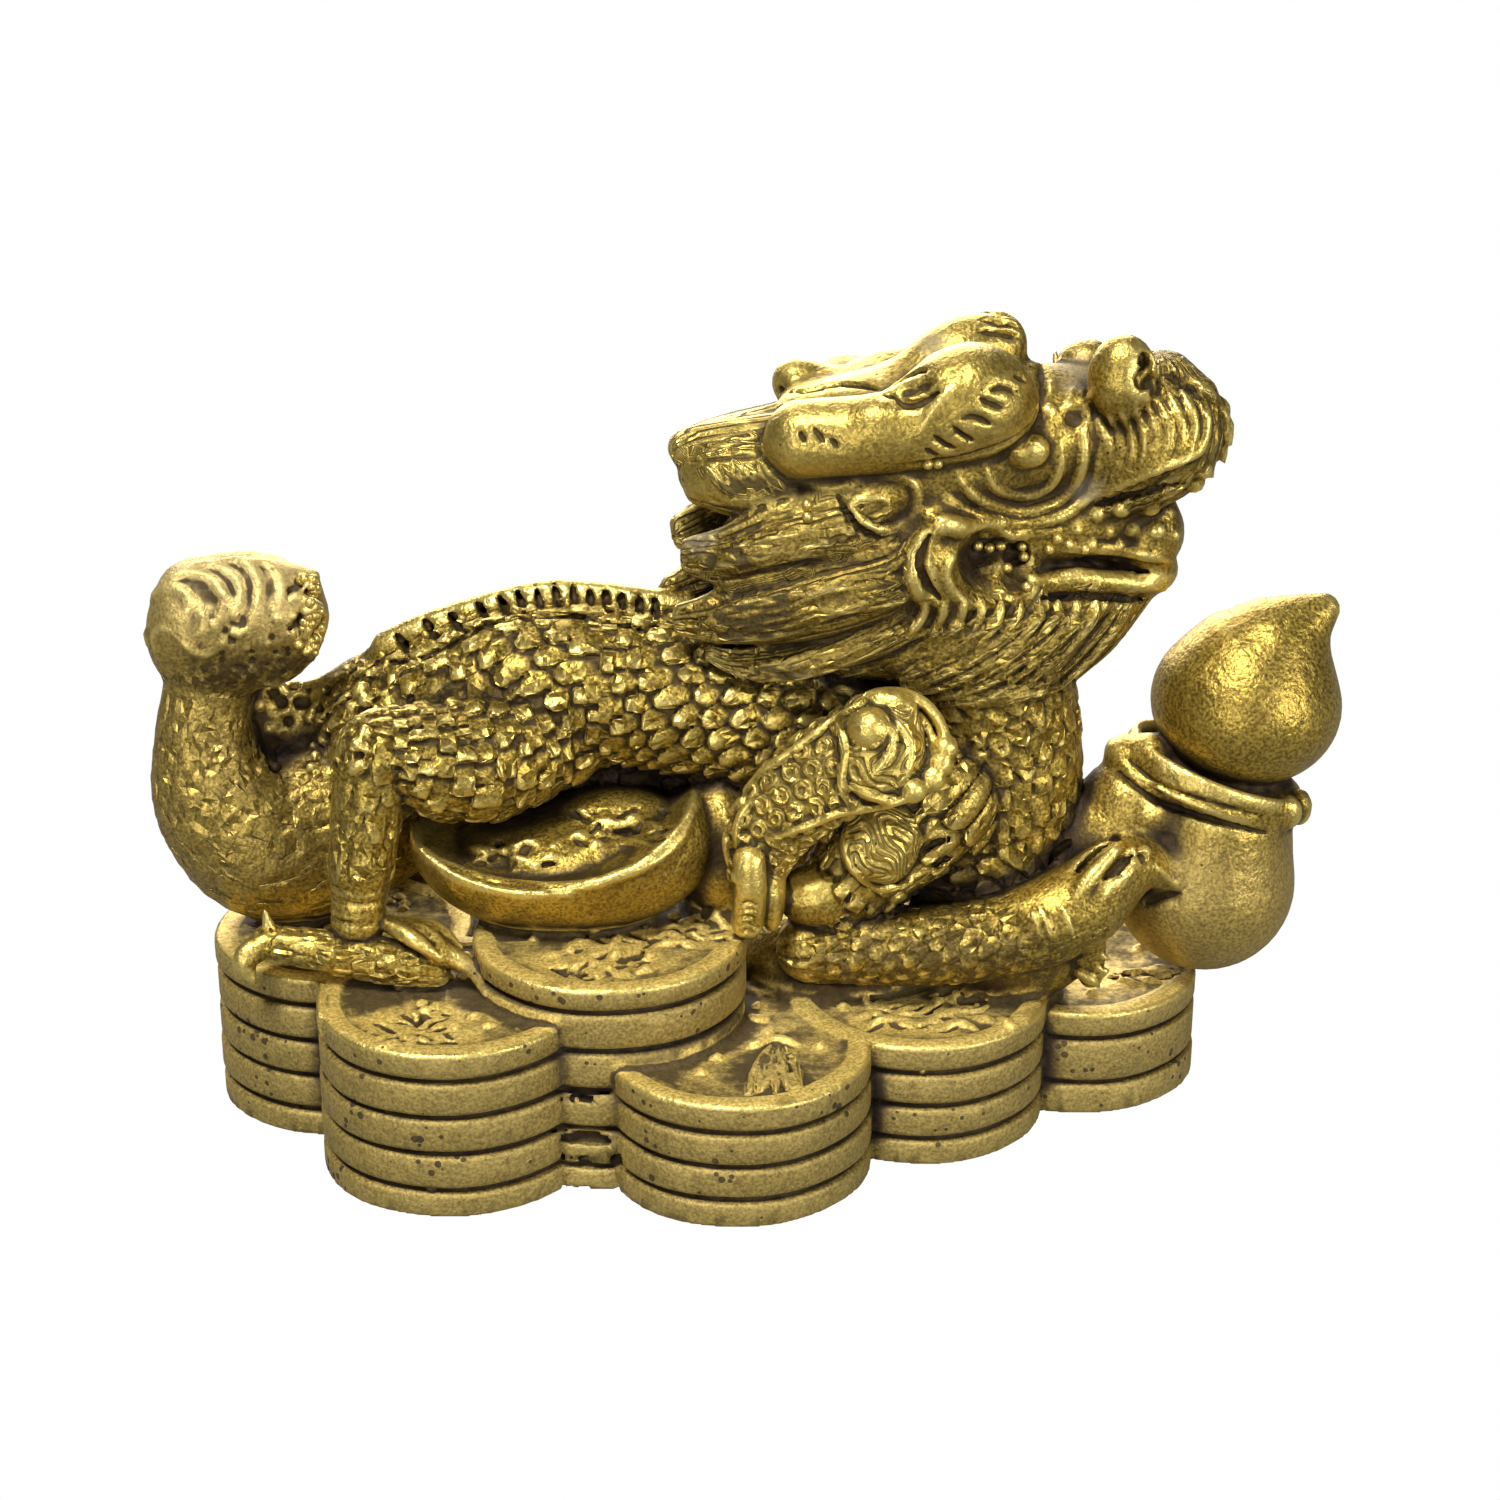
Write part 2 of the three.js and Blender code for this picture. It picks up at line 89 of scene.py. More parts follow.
def rounded_disc(x, y, z, centre, radius, low, high, edge):
    """Distance from an upright disc with a rounded edge, a little out of round like a hand-made coin."""
    angle = np.arctan2(y - centre[1], x - centre[0])
    wobble = 0.12 + 0.05 * np.sin(3 * angle + 2.1 * low + centre[0]) + 0.03 * np.sin(7 * angle + centre[1])
    outward = np.hypot(x - centre[0], y - centre[1]) + wobble - (radius - edge)
    upward = np.abs(z - 0.5 * (low + high)) - (0.5 * (high - low) - edge)
    beyond = np.hypot(np.maximum(outward, 0), np.maximum(upward, 0))
    return np.minimum(np.maximum(outward, upward), 0) + beyond - edge


coin_radius = 7.8
coin_edge = 0.3
seam_depth = 0.65
seam_above, seam_below = 0.19, 0.13
rim_width = 1.25
rim_height = 0.28


def coin_stack(centre, first_seam, pitch, seams, top, radius=coin_radius):
    """A stack of coins, each with a rounded edge, and a raised rim round the uppermost one."""
    x0, y0 = centre
    reach = radius + 1
    slices, x, y, z = window([x0 - reach, y0 - reach, -1], [x0 + reach, y0 + reach, top + 1])
    levels = [-2.0] + [first_seam + pitch * seam for seam in range(seams)] + [top]
    stack = rounded_disc(x, y, z, centre, radius - seam_depth, -2, top - 0.4, 0.2)
    for low, high in zip(levels[:-1], levels[1:]):
        coin = rounded_disc(x, y, z, centre, radius, low + seam_above, high - seam_below, coin_edge)
        stack = np.minimum(stack, coin)
    add(slices, stack, 0.1)
    field = rounded_disc(x, y, z, centre, radius - rim_width, top - rim_height, top + 2, 0.2)
    cut(slices, field, 0.15)


high_stack = dict(first_seam=1.54, pitch=2.26, seams=4, top=10.2)
low_stack = dict(first_seam=1.54, pitch=2.08, seams=3, top=7.6)
flat_stack = dict(first_seam=1.93, pitch=2.91, seams=2, top=6.72)
tall_stack = dict(first_seam=1.32, pitch=2.4, seams=5, top=12.56, radius=8.0)


def bed_fill(corners, height):
    """The solid middle of the bed, between the stacks, under their tops."""
    corners = np.array(corners, float)
    lowest = [corners[:, 0].min(), corners[:, 1].min(), -1]
    slices, x, y, z = window(lowest, [corners[:, 0].max(), corners[:, 1].max(), height + 1])
    distance = z - height
    for here, there in zip(corners, np.roll(corners, -1, axis=0)):
        along = (there - here) / np.linalg.norm(there - here)
        distance = np.maximum(distance, (x - here[0]) * along[1] - (y - here[1]) * along[0])
    add(slices, distance, 0.2)


outer_stacks = [
    ((-21.94, -1.29), high_stack),
    ((-14.55, -10.46), high_stack),
    ((1.62, -11.52), low_stack),
    ((12.16, -4.64), low_stack),
    ((21.94, 1.29), flat_stack),
    ((13.6, 8.2), low_stack),
    ((0.6, 11.6), low_stack),
    ((-14.2, 9.9), high_stack),
]
all_stacks = outer_stacks + [((-5.78, -7.21), tall_stack)]
under_hind_legs = [(-21.94, -1.29), (-14.55, -10.46), (-2, -8), (-7, 3.5), (-14.2, 9.9)]
bed_fill([centre for centre, _ in outer_stacks], low_stack["top"] - 0.6)
bed_fill(under_hind_legs, high_stack["top"] - 0.5)
for centre, sizes in all_stacks:
    coin_stack(centre, **sizes)


def smooth(points, steps):
    """A smooth line through the points, with that many steps from one to the next."""
    points = np.asarray(points, float)
    ends = [2 * points[0] - points[1]], [2 * points[-1] - points[-2]]
    held = np.concatenate([ends[0], points, ends[1]])
    line = []
    for p0, p1, p2, p3 in zip(held[:-3], held[1:-2], held[2:-1], held[3:]):
        for t in np.arange(steps) / steps:
            bend = (2 * p0 - 5 * p1 + 4 * p2 - p3) * t * t + (3 * p1 - p0 - 3 * p2 + p3) * t**3
            line.append(p1 + 0.5 * ((p2 - p0) * t + bend))
    return np.array(line + [points[-1]])


least_margin = 0.9
deepest_relief = 1.4


def margin(soft):
    """How far outside a form its distances are still worked out, for a fillet of that size."""
    return max(least_margin, soft + 0.3)


def tube(path, widths, flat=1.0, up=(0, 0, 1), relief=None, soft=0.3, keep=add, step=None):
    """A round-ended limb along a smooth path. Widths are half widths, and flat is height over width.
    relief takes millimetres along the limb and the angle round it from the top, and gives millimetres
    outward and the drawing's own two coordinates and kind there."""
    path = np.asarray(path, float)
    spans = np.linalg.norm(np.diff(path, axis=0), axis=1)
    step = step or min(max(0.35 * float(np.mean(widths)), 0.3), 1.0)
    centres = smooth(path, max(1, math.ceil(spans.max() / step)))
    count = len(centres)
    sizes = smooth(widths, 8)
    across = np.interp(np.linspace(0, 1, count), np.linspace(0, 1, len(sizes)), sizes)
    across = np.maximum(across, 0.05)
    tangents = np.gradient(centres, axis=0)
    tangents /= np.linalg.norm(tangents, axis=1)[:, None]
    sideways = np.cross(up, tangents)
    sideways /= np.maximum(np.linalg.norm(sideways, axis=1)[:, None], 1e-6)
    upwards = np.cross(tangents, sideways)
    lengths = np.concatenate([[0], np.cumsum(np.linalg.norm(np.diff(centres, axis=0), axis=1))])
    reach = across.max() * max(1, flat) + margin(soft)
    slices, x, y, z = window(centres.min(0) - reach, centres.max(0) + reach)
    shape = (x.size, y.size, z.size)
    nearest = np.full(shape, far_away, np.float32)
    along = np.zeros(shape, np.float32)
    around = np.zeros(shape, np.float32)
    start = np.array([s.start for s in slices])
    for i in range(count - 1):
        reach = max(across[i], across[i + 1]) * max(1, flat) + margin(soft)
        low = np.minimum(centres[i], centres[i + 1]) - reach
        high = np.maximum(centres[i], centres[i + 1]) + reach
        part, px, py, pz = window(low, high)
        own = tuple(slice(s.start - a, s.stop - a) for s, a in zip(part, start))
        step_along = centres[i + 1] - centres[i]
        px, py, pz = px - centres[i][0], py - centres[i][1], pz - centres[i][2]
        square = max(float(step_along @ step_along), 1e-9)
        share = np.clip((px * step_along[0] + py * step_along[1] + pz * step_along[2]) / square, 0, 1)
        px, py, pz = px - share * step_along[0], py - share * step_along[1], pz - share * step_along[2]
        side, over, fore = sideways[i], upwards[i], tangents[i]
        wide = across[i] + share * (across[i + 1] - across[i])
        tall = wide * flat
        blunt = np.minimum(wide, tall)
        a = (px * side[0] + py * side[1] + pz * side[2]) / wide
        b = (px * over[0] + py * over[1] + pz * over[2]) / tall
        c = (px * fore[0] + py * fore[1] + pz * fore[2]) / blunt
        fullness = np.sqrt(a * a + b * b + c * c)
        slope = np.sqrt((a / wide) ** 2 + (b / tall) ** 2 + (c / blunt) ** 2)
        distance = fullness * (fullness - 1) / np.maximum(slope, 1e-6)
        better = distance < nearest[own]
        nearest[own] = np.where(better, distance, nearest[own])
        if relief:
            along[own] = np.where(better, lengths[i] + share * (lengths[i + 1] - lengths[i]), along[own])
            around[own] = np.where(better, np.arctan2(a, b), around[own])
    pattern = None
    if relief:
        skin = np.abs(nearest) < deepest_relief
        rise, *drawing = relief(along[skin], around[skin])
        nearest[skin] -= rise
        pattern = []
        for values in drawing:
            pattern.append(np.zeros(shape, np.float32))
            pattern[-1][skin] = values
    keep(slices, nearest, soft, pattern)


def lump(centre, halves, turn=0, tilt=0, soft=0.4, keep=add):
    """A rounded lump with its own three half sizes, tilted about Y and turned about Z, in degrees."""
    reach = max(halves) + margin(soft)
    centre = np.asarray(centre, float)
    slices, x, y, z = window(centre - reach, centre + reach)
    x, y, z = x - centre[0], y - centre[1], z - centre[2]
    turn, tilt = math.radians(turn), math.radians(tilt)
    x, y = x * math.cos(turn) + y * math.sin(turn), y * math.cos(turn) - x * math.sin(turn)
    x, z = x * math.cos(tilt) - z * math.sin(tilt), z * math.cos(tilt) + x * math.sin(tilt)
    a, b, c = x / halves[0], y / halves[1], z / halves[2]
    fullness = np.sqrt(a * a + b * b + c * c)
    slope = np.sqrt((a / halves[0]) ** 2 + (b / halves[1]) ** 2 + (c / halves[2]) ** 2)
    distance = (fullness * (fullness - 1) / np.maximum(slope, 1e-6)).astype(np.float32)
    keep(slices, distance, soft)


mound_under_chest = [7.5, -1, 6.2]
lump(mound_under_chest, [6.4, 5.4, 5.2])

# THE DRAGON'S BODY
# It arches from the rump over the ingot and down to the chest, covered in overlapping scales.
# The scales were pressed into the master model one by one, and came out soft in the casting.
scale_pitch = 1.65
scale_rise = 0.8
scale_overlap = 1.62
scale_bluntness = 1.12
scale_narrowness = 1.95
scale_kind = 1


def scales(girth, pitch=scale_pitch, rise=scale_rise, forward=False, slant=0):
    """Overlapping scales on a limb of that half width: rounded tongues in staggered rows, whose free ends
    point back along the limb, or forward, and slant down its sides by that many degrees."""
    lean = math.radians(slant)

    def height(along, around):
        onward = along if forward else -along
        down = girth * np.abs(around)
        uneven = 0.12 * np.sin(1.7 * along + 3 * around) + 0.1 * np.sin(5 * around - 0.9 * along)
        place = (onward * math.cos(lean) + down * math.sin(lean)) / pitch + uneven
        turn = (down * math.cos(lean) - onward * math.sin(lean)) / (pitch * 0.84)
        best = np.full(along.shape, 0.1, np.float32)
        for back in range(2):
            row = np.floor(place) - back
            shift = turn + 0.5 * np.mod(row, 2)
            aside = shift - np.round(shift)
            ahead = (place - row) / scale_overlap
            inside = (scale_bluntness * ahead) ** 4 + (scale_narrowness * aside) ** 2 < 1
            best = np.maximum(best, np.where(inside, 0.3 + 0.7 * ahead - 0.5 * aside * aside, 0.1))
        return rise * (best - 0.55), place, turn, scale_kind

    return height


spine = [
    [-19, 1.4, 21.9],
    [-14, 0.9, 23.9],
    [-8.6, 0.2, 25.2],
    [-3, 0, 24.9],
    [4, 0, 22.6],
    [11, 0, 19],
    [16.4, 0, 15],
]
belly = [[-10.5, 2.6, 20.2], [-4, 3.0, 19.6], [2.5, 2.6, 18.8]]
elbow, chest = [0.6, -3.2, 15.6], [17, -3, 10]
neck = [[16.6, 0, 13.5], [17, 0, 20], [15.5, 0, 27], [12.5, 0, 34]]
crest = [
    [-18.6, 1.0, 26.5],
    [-16.5, 0.9, 27.5],
    [-13.3, 0.6, 28.7],
    [-9.7, 0.2, 29.8],
    [-6.3, 0, 29.9],
    [-1.5, 0, 29.2],
]
body_slant = 42
tube(spine, [3.9, 4.9, 5.1, 4.9, 5, 5.1, 5], relief=scales(5, slant=body_slant))
tube(belly, [3.0, 3.6, 3.0], flat=1.25, relief=scales(4, slant=body_slant), soft=0.8)
lump(elbow, [2.6, 3.2, 4.6], soft=0.8)
lump(chest, [6, 4, 4], soft=0.8)
tube(neck, [4.7, 4.9, 5.2, 5.4], up=(1, 0, 0), relief=scales(5, rise=0.45, slant=-20))
tube(crest, [1.0, 1.05, 1.05, 1.0, 0.95, 0.9], flat=1.3, soft=0.12)

# THE LEGS
# The near hind leg stands on the coins with its foot spread along two stacks, and the far one repeats it.
# The near foreleg lies along the coins to the gourd, and the far one reaches up to the gourd's waist.


def same(points):
    """The points as they are, for the near one of a pair."""
    return np.asarray(points, float)


def across_body(points):
    """The same points on the other side of the body."""
    return same(points) * (1, -1, 1)


def wrinkles(pitch, depth):
    """Folds of skin across a joint."""

    def height(along, around):
        fold = np.sqrt(np.abs(np.sin(math.pi * along / pitch + 0.6 * np.sin(around))))
        return depth * (fold - 0.7), along, around, 0

    return height


thigh = [[-9.4, -2.0, 22.6], [-13.6, -4.6, 22.0], [-18.2, -6.4, 23.2]]
shin = [[-18.9, -6.8, 23.0], [-19.3, -7.2, 20], [-19.7, -7.7, 17], [-20.0, -8.3, 13.6]]
foot = [[-25.2, -8.5, 12.3], [-21.4, -9.0, 11.9], [-17.8, -9.4, 11.4], [-15.6, -9.6, 11.0]]
heel_spur = [[-25.0, -8.5, 12.8], [-25.2, -8.7, 14.3]]
heel_claw = [[-25.4, -8.8, 12.3], [-26.4, -9.4, 11.6], [-25.9, -9.8, 10.3]]
toe_tips = ((-14.2, -8.6), (-14.6, -9.3), (-15.2, -10.0))
long_claw = [[-15.2, -9.6, 12.2], [-13.4, -10.2, 11.4], [-12.6, -11.2, 10.4]]
toe_joint = [[-15.6, -9.5, 11.9]]
thigh_scales = scales(3.6, forward=True, slant=55)
shin_scales = scales(2, pitch=1.8, rise=0.34, forward=True)
foot_scales = scales(1.3, pitch=1.15, rise=0.2)
for side in (same, across_body):
    tube(side(thigh), [3.3, 3.6, 2.3], relief=thigh_scales, soft=0.8)
    tube(side(shin[:3]), [2.3, 2.05, 1.8], up=(1, 0, 0), relief=shin_scales)
    tube(side(shin[2:]), [1.75, 1.5], up=(1, 0, 0), relief=wrinkles(0.62, 0.22), soft=0.4)
    tube(side(foot), [0.95, 1.25, 1.3, 0.95], relief=foot_scales, soft=0.2)
    tube(side(heel_spur), [0.5, 0.15], up=(1, 0, 0), soft=0.2)
    tube(side(heel_claw), [0.8, 0.7, 0.2], soft=0.15)
    for x, y in toe_tips:
        toe = [[-18.4, -8.6, 13.5], [x - 1.5, y, 13.2], [x, y - 0.3, 12.1]]
        tube(side(toe), [0.45, 0.5, 0.25], soft=0.1)
    tube(side(long_claw), [0.7, 0.5, 0.2], soft=0.15)
    lump(side(toe_joint)[0], [1.0, 0.9, 0.9], soft=0.2)

upper_foreleg = [[13, -3, 19], [9.4, -4.2, 15.8], [7, -4.6, 12.4]]
foreleg = [[6, -5.4, 10.5], [10, -5.8, 10.8], [14, -6, 11], [18, -6, 11.8], [21.4, -5.7, 13.0]]
wrist = [[18, -5.9, 11.9], [21.6, -5.6, 13.2], [23, -5, 13.6]]
far_forearm = [[6, 5.4, 10.5], [12, 5.8, 10.9], [17, 4.6, 11.8]]
far_wrist = [[16, 2, 13.4], [20, 0, 14], [23.4, -0.6, 15.6], [25.0, -0.6, 17.8], [25.8, -0.4, 19.8]]
far_knuckles = (([24.4, -0.2, 20.6], [1.2, 1.4, 1.1]), ([25.8, -1.0, 20.9], [1.2, 1.3, 1.2]))
forearm_scales = scales(2.3, pitch=1.3, rise=0.26, slant=50)
for side in (same, across_body):
    tube(side(upper_foreleg), [4, 3.2, 2.4], relief=scales(3.2, forward=True))
tube(foreleg, [2.1, 2.3, 2.35, 2.35, 2.2], relief=forearm_scales)
tube(wrist, [2.35, 2.3, 1.7], relief=wrinkles(0.9, 0.12))
tube(far_forearm, [2.1, 2.4, 2.4], relief=forearm_scales)
tube(far_wrist, [3.4, 3.4, 3.3, 2.9, 2.0], relief=wrinkles(1.9, 0.14))
for centre, halves in far_knuckles:
    lump(centre, halves, soft=0.5)

# THE TAIL
# It leaves the rump, dips to the coins, curls up at the left end and spreads into a ragged tuft.
# A skin of flash that was never cleaned out of the mould closes the hollow beside it.
tail = [
    [-17, 2, 19.6],
    [-21.5, 1.2, 16.2],
    [-26, -0.4, 15.0],
    [-28.9, -0.8, 17.8],
    [-29.7, -0.5, 21.4],
    [-29.3, 0, 24.8],
    [-28.4, 0, 27.4],
]
skin_of_flash = [[-28.4, 1.0, 21.7], [-23.6, 1.6, 21.5], [-18, 1.4, 22.0]]
tuft_middle = [[-29.5, 0, 28.6], [-26.6, 0, 28.9], [-24.6, 0, 29.1]]
tuft_foot = [[-30.3, 0, 27.2], [-26.0, 0, 27.0], [-24.4, 0, 27.3]]
tuft_top = [[-30.0, 0, 30.6], [-26.4, 0, 31.1], [-23.6, 0, 30.9]]
tail_scales = scales(3.6, rise=0.1, pitch=1.5, forward=True)
tube(tail, [4.4, 5.2, 4.9, 4.0, 2.9, 2.5, 2.8], flat=0.8, up=(0, 1, 0), relief=tail_scales, soft=0.6)
tube(skin_of_flash, [1.0, 1.0, 1.7], flat=3.0, soft=1.2)
tube(tuft_middle, [3.0, 3.0, 2.6], soft=0.9)
tube(tuft_foot, [2.1, 2.2, 1.6], soft=0.9)
tube(tuft_top, [1.7, 1.6, 1.2], soft=0.7)

# THE HEAD
# It looks along the gourd, turned a little away from the viewer, with two horns laid back over the skull.
# Skull, snout and jaws are plain round forms here, and the folds of the face are drawn on afterwards.
head_centre = np.array([14.3, 0.5, 38])
head_turn = 8
head_side = np.array([-math.sin(math.radians(head_turn)), math.cos(math.radians(head_turn)), 0])
hair_kind = 2


def across_head(points):
    """The same points on the other side of the turned head."""
    away = (same(points) - head_centre) @ head_side
    return same(points) - 2 * away[:, None] * head_side


def strands(pitch, depth, girth):
    """Hair: fine ridges that run along a lock of that half width."""

    def height(along, around):
        across = girth * np.sin(around)
        wave = 0.4 * np.sin(0.5 * along + across) + 0.25 * np.sin(1.3 * along - 2 * across)
        fine = np.abs(np.sin(math.pi * across / pitch + wave))
        return depth * (np.sqrt(fine) - 0.75), along, across, hair_kind

    return height


bridge_of_nose = [[13, 0.3, 39.4], [20, 1.2, 39.8], [24.8, 1.8, 39.6]]
lower_jaw = [[14, 0.5, 32], [20.5, 1.2, 31.4], [25.0, 1.8, 31.6]]
brow = [[17, 0.6, 41.9], [20.4, 1.1, 41.9], [23, 1.5, 41.9]]
lump([11.6, 0, 38.6], [6.6, 5.2, 4.8], turn=head_turn)
tube(bridge_of_nose, [4.8, 4.3, 3.5], flat=0.84, soft=1.2)
lump([18.6, 0.9, 35.2], [8.2, 3.6, 3.6], turn=head_turn, soft=1.0)
tube(lower_jaw, [4.4, 3.5, 2.3], flat=0.4, soft=0.6)
tube(brow, [1.9, 1.4, 1.5], soft=0.8)
lump([25.3, -0.2, 39.9], [3.3, 3.2, 3.3], soft=0.8)
lump([25.3, 2.6, 39.7], [3.1, 3.0, 3.1], soft=0.8)
for away in (-0.5, 3.0):
    top, middle = [25.7, 0.6 + 0.5 * away, 42.2], [25.9, away, 40.0]
    moustache = [top, middle, [24.4, away * 1.3, 37.8], [21.8, away * 1.6, 36.6]]
    tube(moustache, [1.9, 2.8, 2.2, 1.0], up=(0, 1, 0), relief=strands(0.95, 0.3, 2.6), soft=1.0)
lump([25.8, 1.2, 40.2], [3.0, 2.6, 2.9], soft=1.5)
furthest_tip, tip_height, tip_middle = 29.5, 40.3, 0.6
for z in (42.3, 41.3, 40.3, 39.3, 38.4):
    for y in (-0.9, 0.6, 2.0):
        tip = furthest_tip - 0.25 * (z - tip_height) ** 2 - 0.12 * (y - tip_middle) ** 2
        lock = [[26.6, y, z + 0.5], [tip - 0.5, y - 0.1, z + 0.1], [tip, y - 0.2, z - 0.7]]
        tube(lock, [0.6, 0.5, 0.16], soft=0.2)
nostril, far_nostril = [22.9, -2.0, 43.5], [21.5, 3, 43.1]
upper_lip, lower_lip = [25.2, 1.0, 33.9], [24.9, 1.2, 31.6]
lump(nostril, [1.95, 1.8, 2.5], soft=0.25)
lump(upper_lip, [2.1, 2.6, 2.3], soft=0.5)
lump(lower_lip, [2.2, 2.4, 1.6], soft=0.5)
lump(far_nostril, [1.7, 1.5, 1.5], soft=0.4)

top_knob = [[11.6, 0.5, 42.6], [14.1, 1.2, 43.9], [16.1, 1.8, 44.6]]
near_horn = [
    [5.3, -4.3, 40.7],
    [7.8, -4.5, 40.9],
    [10.2, -4.6, 41.2],
    [12.4, -4.2, 42.0],
    [14.4, -3.7, 42.7],
    [15.9, -3.3, 42.5],
]
far_horn = [[5.0, 3, 42.1], [7.6, 3, 41.9], [9.7, 3, 42.4], [11.7, 3, 42.9], [14, 3, 43.6]]
between_horns = [[5.6, 0.4, 40.8], [10, 0.4, 41.6]]
tube(top_knob, [1.9, 2.3, 1.85], soft=0.9)
tube(near_horn, [2.2, 2.2, 2.25, 2.7, 3.2, 2.3], soft=0.35)
tube(far_horn, [1.4, 1.15, 1.45, 1.3, 1.6], soft=0.3)
tube(between_horns, [2.9, 3.2], flat=0.62, soft=0.8)

eyeball = [[17.6, -3.7, 39.9]]
ear = [[10.6, -4.9, 37.6], [8.9, -5.1, 37.3], [6.2, -5.0, 38.0]]
cheek = [[12.6, -4.2, 36], [12.2, -4.8, 33.6], [13.4, -4.4, 31.6]]
hair_lobes = (
    ([[6, -1.9, 40.3], [1.2, -1.8, 39.8], [-1.2, -1.5, 39.5]], [1.6, 1.4, 1.0], 0.3),
    ([[6, -3.1, 38], [2.1, -3.0, 37.7], [-0.2, -2.5, 37.6]], [1.8, 1.75, 1.2], 0.6),
    ([[6, -2.9, 39.2], [1.4, -2.7, 38.7], [-0.4, -2.2, 38.5]], [1.9, 1.6, 1.0], 0.8),
)
for side in (same, across_head):
    lump(side(eyeball)[0], [1.25, 0.85, 1.0], soft=0.3)
    tube(side(ear), [1.0, 1.3, 0.6], flat=0.4, up=(0, 1, 0.3), soft=0.5)
    tube(side(cheek), [1.6, 1.7, 1.4], soft=0.6)
    for path, widths, soft in hair_lobes:
        tube(side(path), widths, soft=soft, relief=strands(1.1, 0.09, 1.6))

# THE MANE AND BEARD
# Long locks sweep back from the cheeks over the body, and the beard hangs back from the chin to the chest.
# They were built up as thick strips on the master model, with finer hairs combed into each of them.
mane_core = [[10, 0.2, 32.2], [4.6, 0.2, 32.0]]
beard_core = [[21.6, 0.4, 29.8], [16, -0.3, 28.9], [8, -0.4, 29.4]]
chin_tuft = [[24.9, 0.6, 30.6], [22.6, 0, 28.2], [20.6, -0.6, 26]]
top_lock = [[9.6, -4.6, 37.0], [7.9, -5.0, 36.4], [4.6, -5.1, 35.3], [1.2, -4.7, 34.2], [-1.0, -3.9, 33.9]]
main_lock = [[11.6, -5.0, 34.6], [10.1, -5.3, 33.5], [6.2, -5.5, 32.2], [1.8, -5.1, 30.9], [-1.5, -4.3, 30.3]]
low_lock = [[11.4, -4.9, 30.9], [9.1, -5.1, 29.7], [5.2, -5.2, 28.4], [1.8, -4.8, 27.9], [0.0, -4.4, 28.3]]
locks = (
    (top_lock, [1.2, 1.8, 2.1, 1.7, 1.1]),
    (main_lock, [1.5, 2.1, 2.3, 1.8, 1.0]),
    (low_lock, [1.5, 1.4, 1.1, 0.8, 0.4]),
    ([[18, -3.0, 31.4], [15.4, -4.1, 28.9], [11.2, -4.4, 26.8]], [1.5, 1.7, 1.0]),
    ([[21.6, -1.8, 31], [18.6, -3.2, 28], [15, -3.6, 25.8]], [1.4, 1.6, 1.0]),
    ([[23.4, -0.8, 30.6], [20.9, -1.8, 28], [18.0, -2.6, 25.4]], [1.2, 1.4, 0.9]),
)
tube(mane_core, [5.5, 4.5], relief=strands(1.2, 0.2, 5))
tube(beard_core, [2.4, 4.2, 4.4], flat=0.82, soft=0.6, relief=strands(1.1, 0.2, 4))
for side in (same, across_head):
    for path, widths in locks:
        tube(side(path), widths, flat=0.5, up=(0, 1, -0.2), relief=strands(1.05, 0.26, 1.9), soft=0.8)
tube(chin_tuft, [0.9, 1.3, 0.9], relief=strands(1.0, 0.2, 1.2))

# THE FACE
# Lids, folds, lips, moustache and hair were drawn in the master model with a small tool. These marks are
# places in the photograph, in its own pixels, taken from close up and a little above. Each lies where its
# sight line meets the figure, and most repeat on the far side.
lens_place = np.array([2.35, -148.14, 78.77])
lens_dip = math.radians(21.39)
picture_middle = 750.0
picture_depth = 2700.0
marks_to_a_millimetre = 17.6
sight_step = 0.1
largest_jump = 0.9
no_new_points = 9  # a step longer than any path's own, in millimetres
ridge_taper = [0, 0.2, 0.75, 1], [0.55, 1, 1, 0.45]
groove_taper = [0, 0.25, 0.75, 1], [0.4, 1, 1, 0.4]
leaf_taper = [0, 0.4, 1], [0.5, 1, 0.4]


def sight_lines(marks):
    """Directions from the lens through places in the photograph, per millimetre of depth."""
    marks = np.asarray(marks, float)
    right = marks[:, 0] - picture_middle
    rise = picture_middle - marks[:, 1]
    inward = picture_depth * math.cos(lens_dip) + rise * math.sin(lens_dip)
    upward = rise * math.cos(lens_dip) - picture_depth * math.sin(lens_dip)
    return np.stack([right / inward, np.ones(len(marks)), upward / inward], axis=1)


def slope_at(points):
    """How the block's distances change near points on its skin, which is the way that the skin faces."""
    base = np.clip(np.rint((points - block_corner) / cell).astype(int), 1, block_cells - 2)
    slope = np.empty_like(points)
    for axis in range(3):
        ahead, behind = base.copy(), base.copy()
        ahead[:, axis] += 1
        behind[:, axis] -= 1
        slope[:, axis] = block[tuple(ahead.T)] - block[tuple(behind.T)]
    return slope


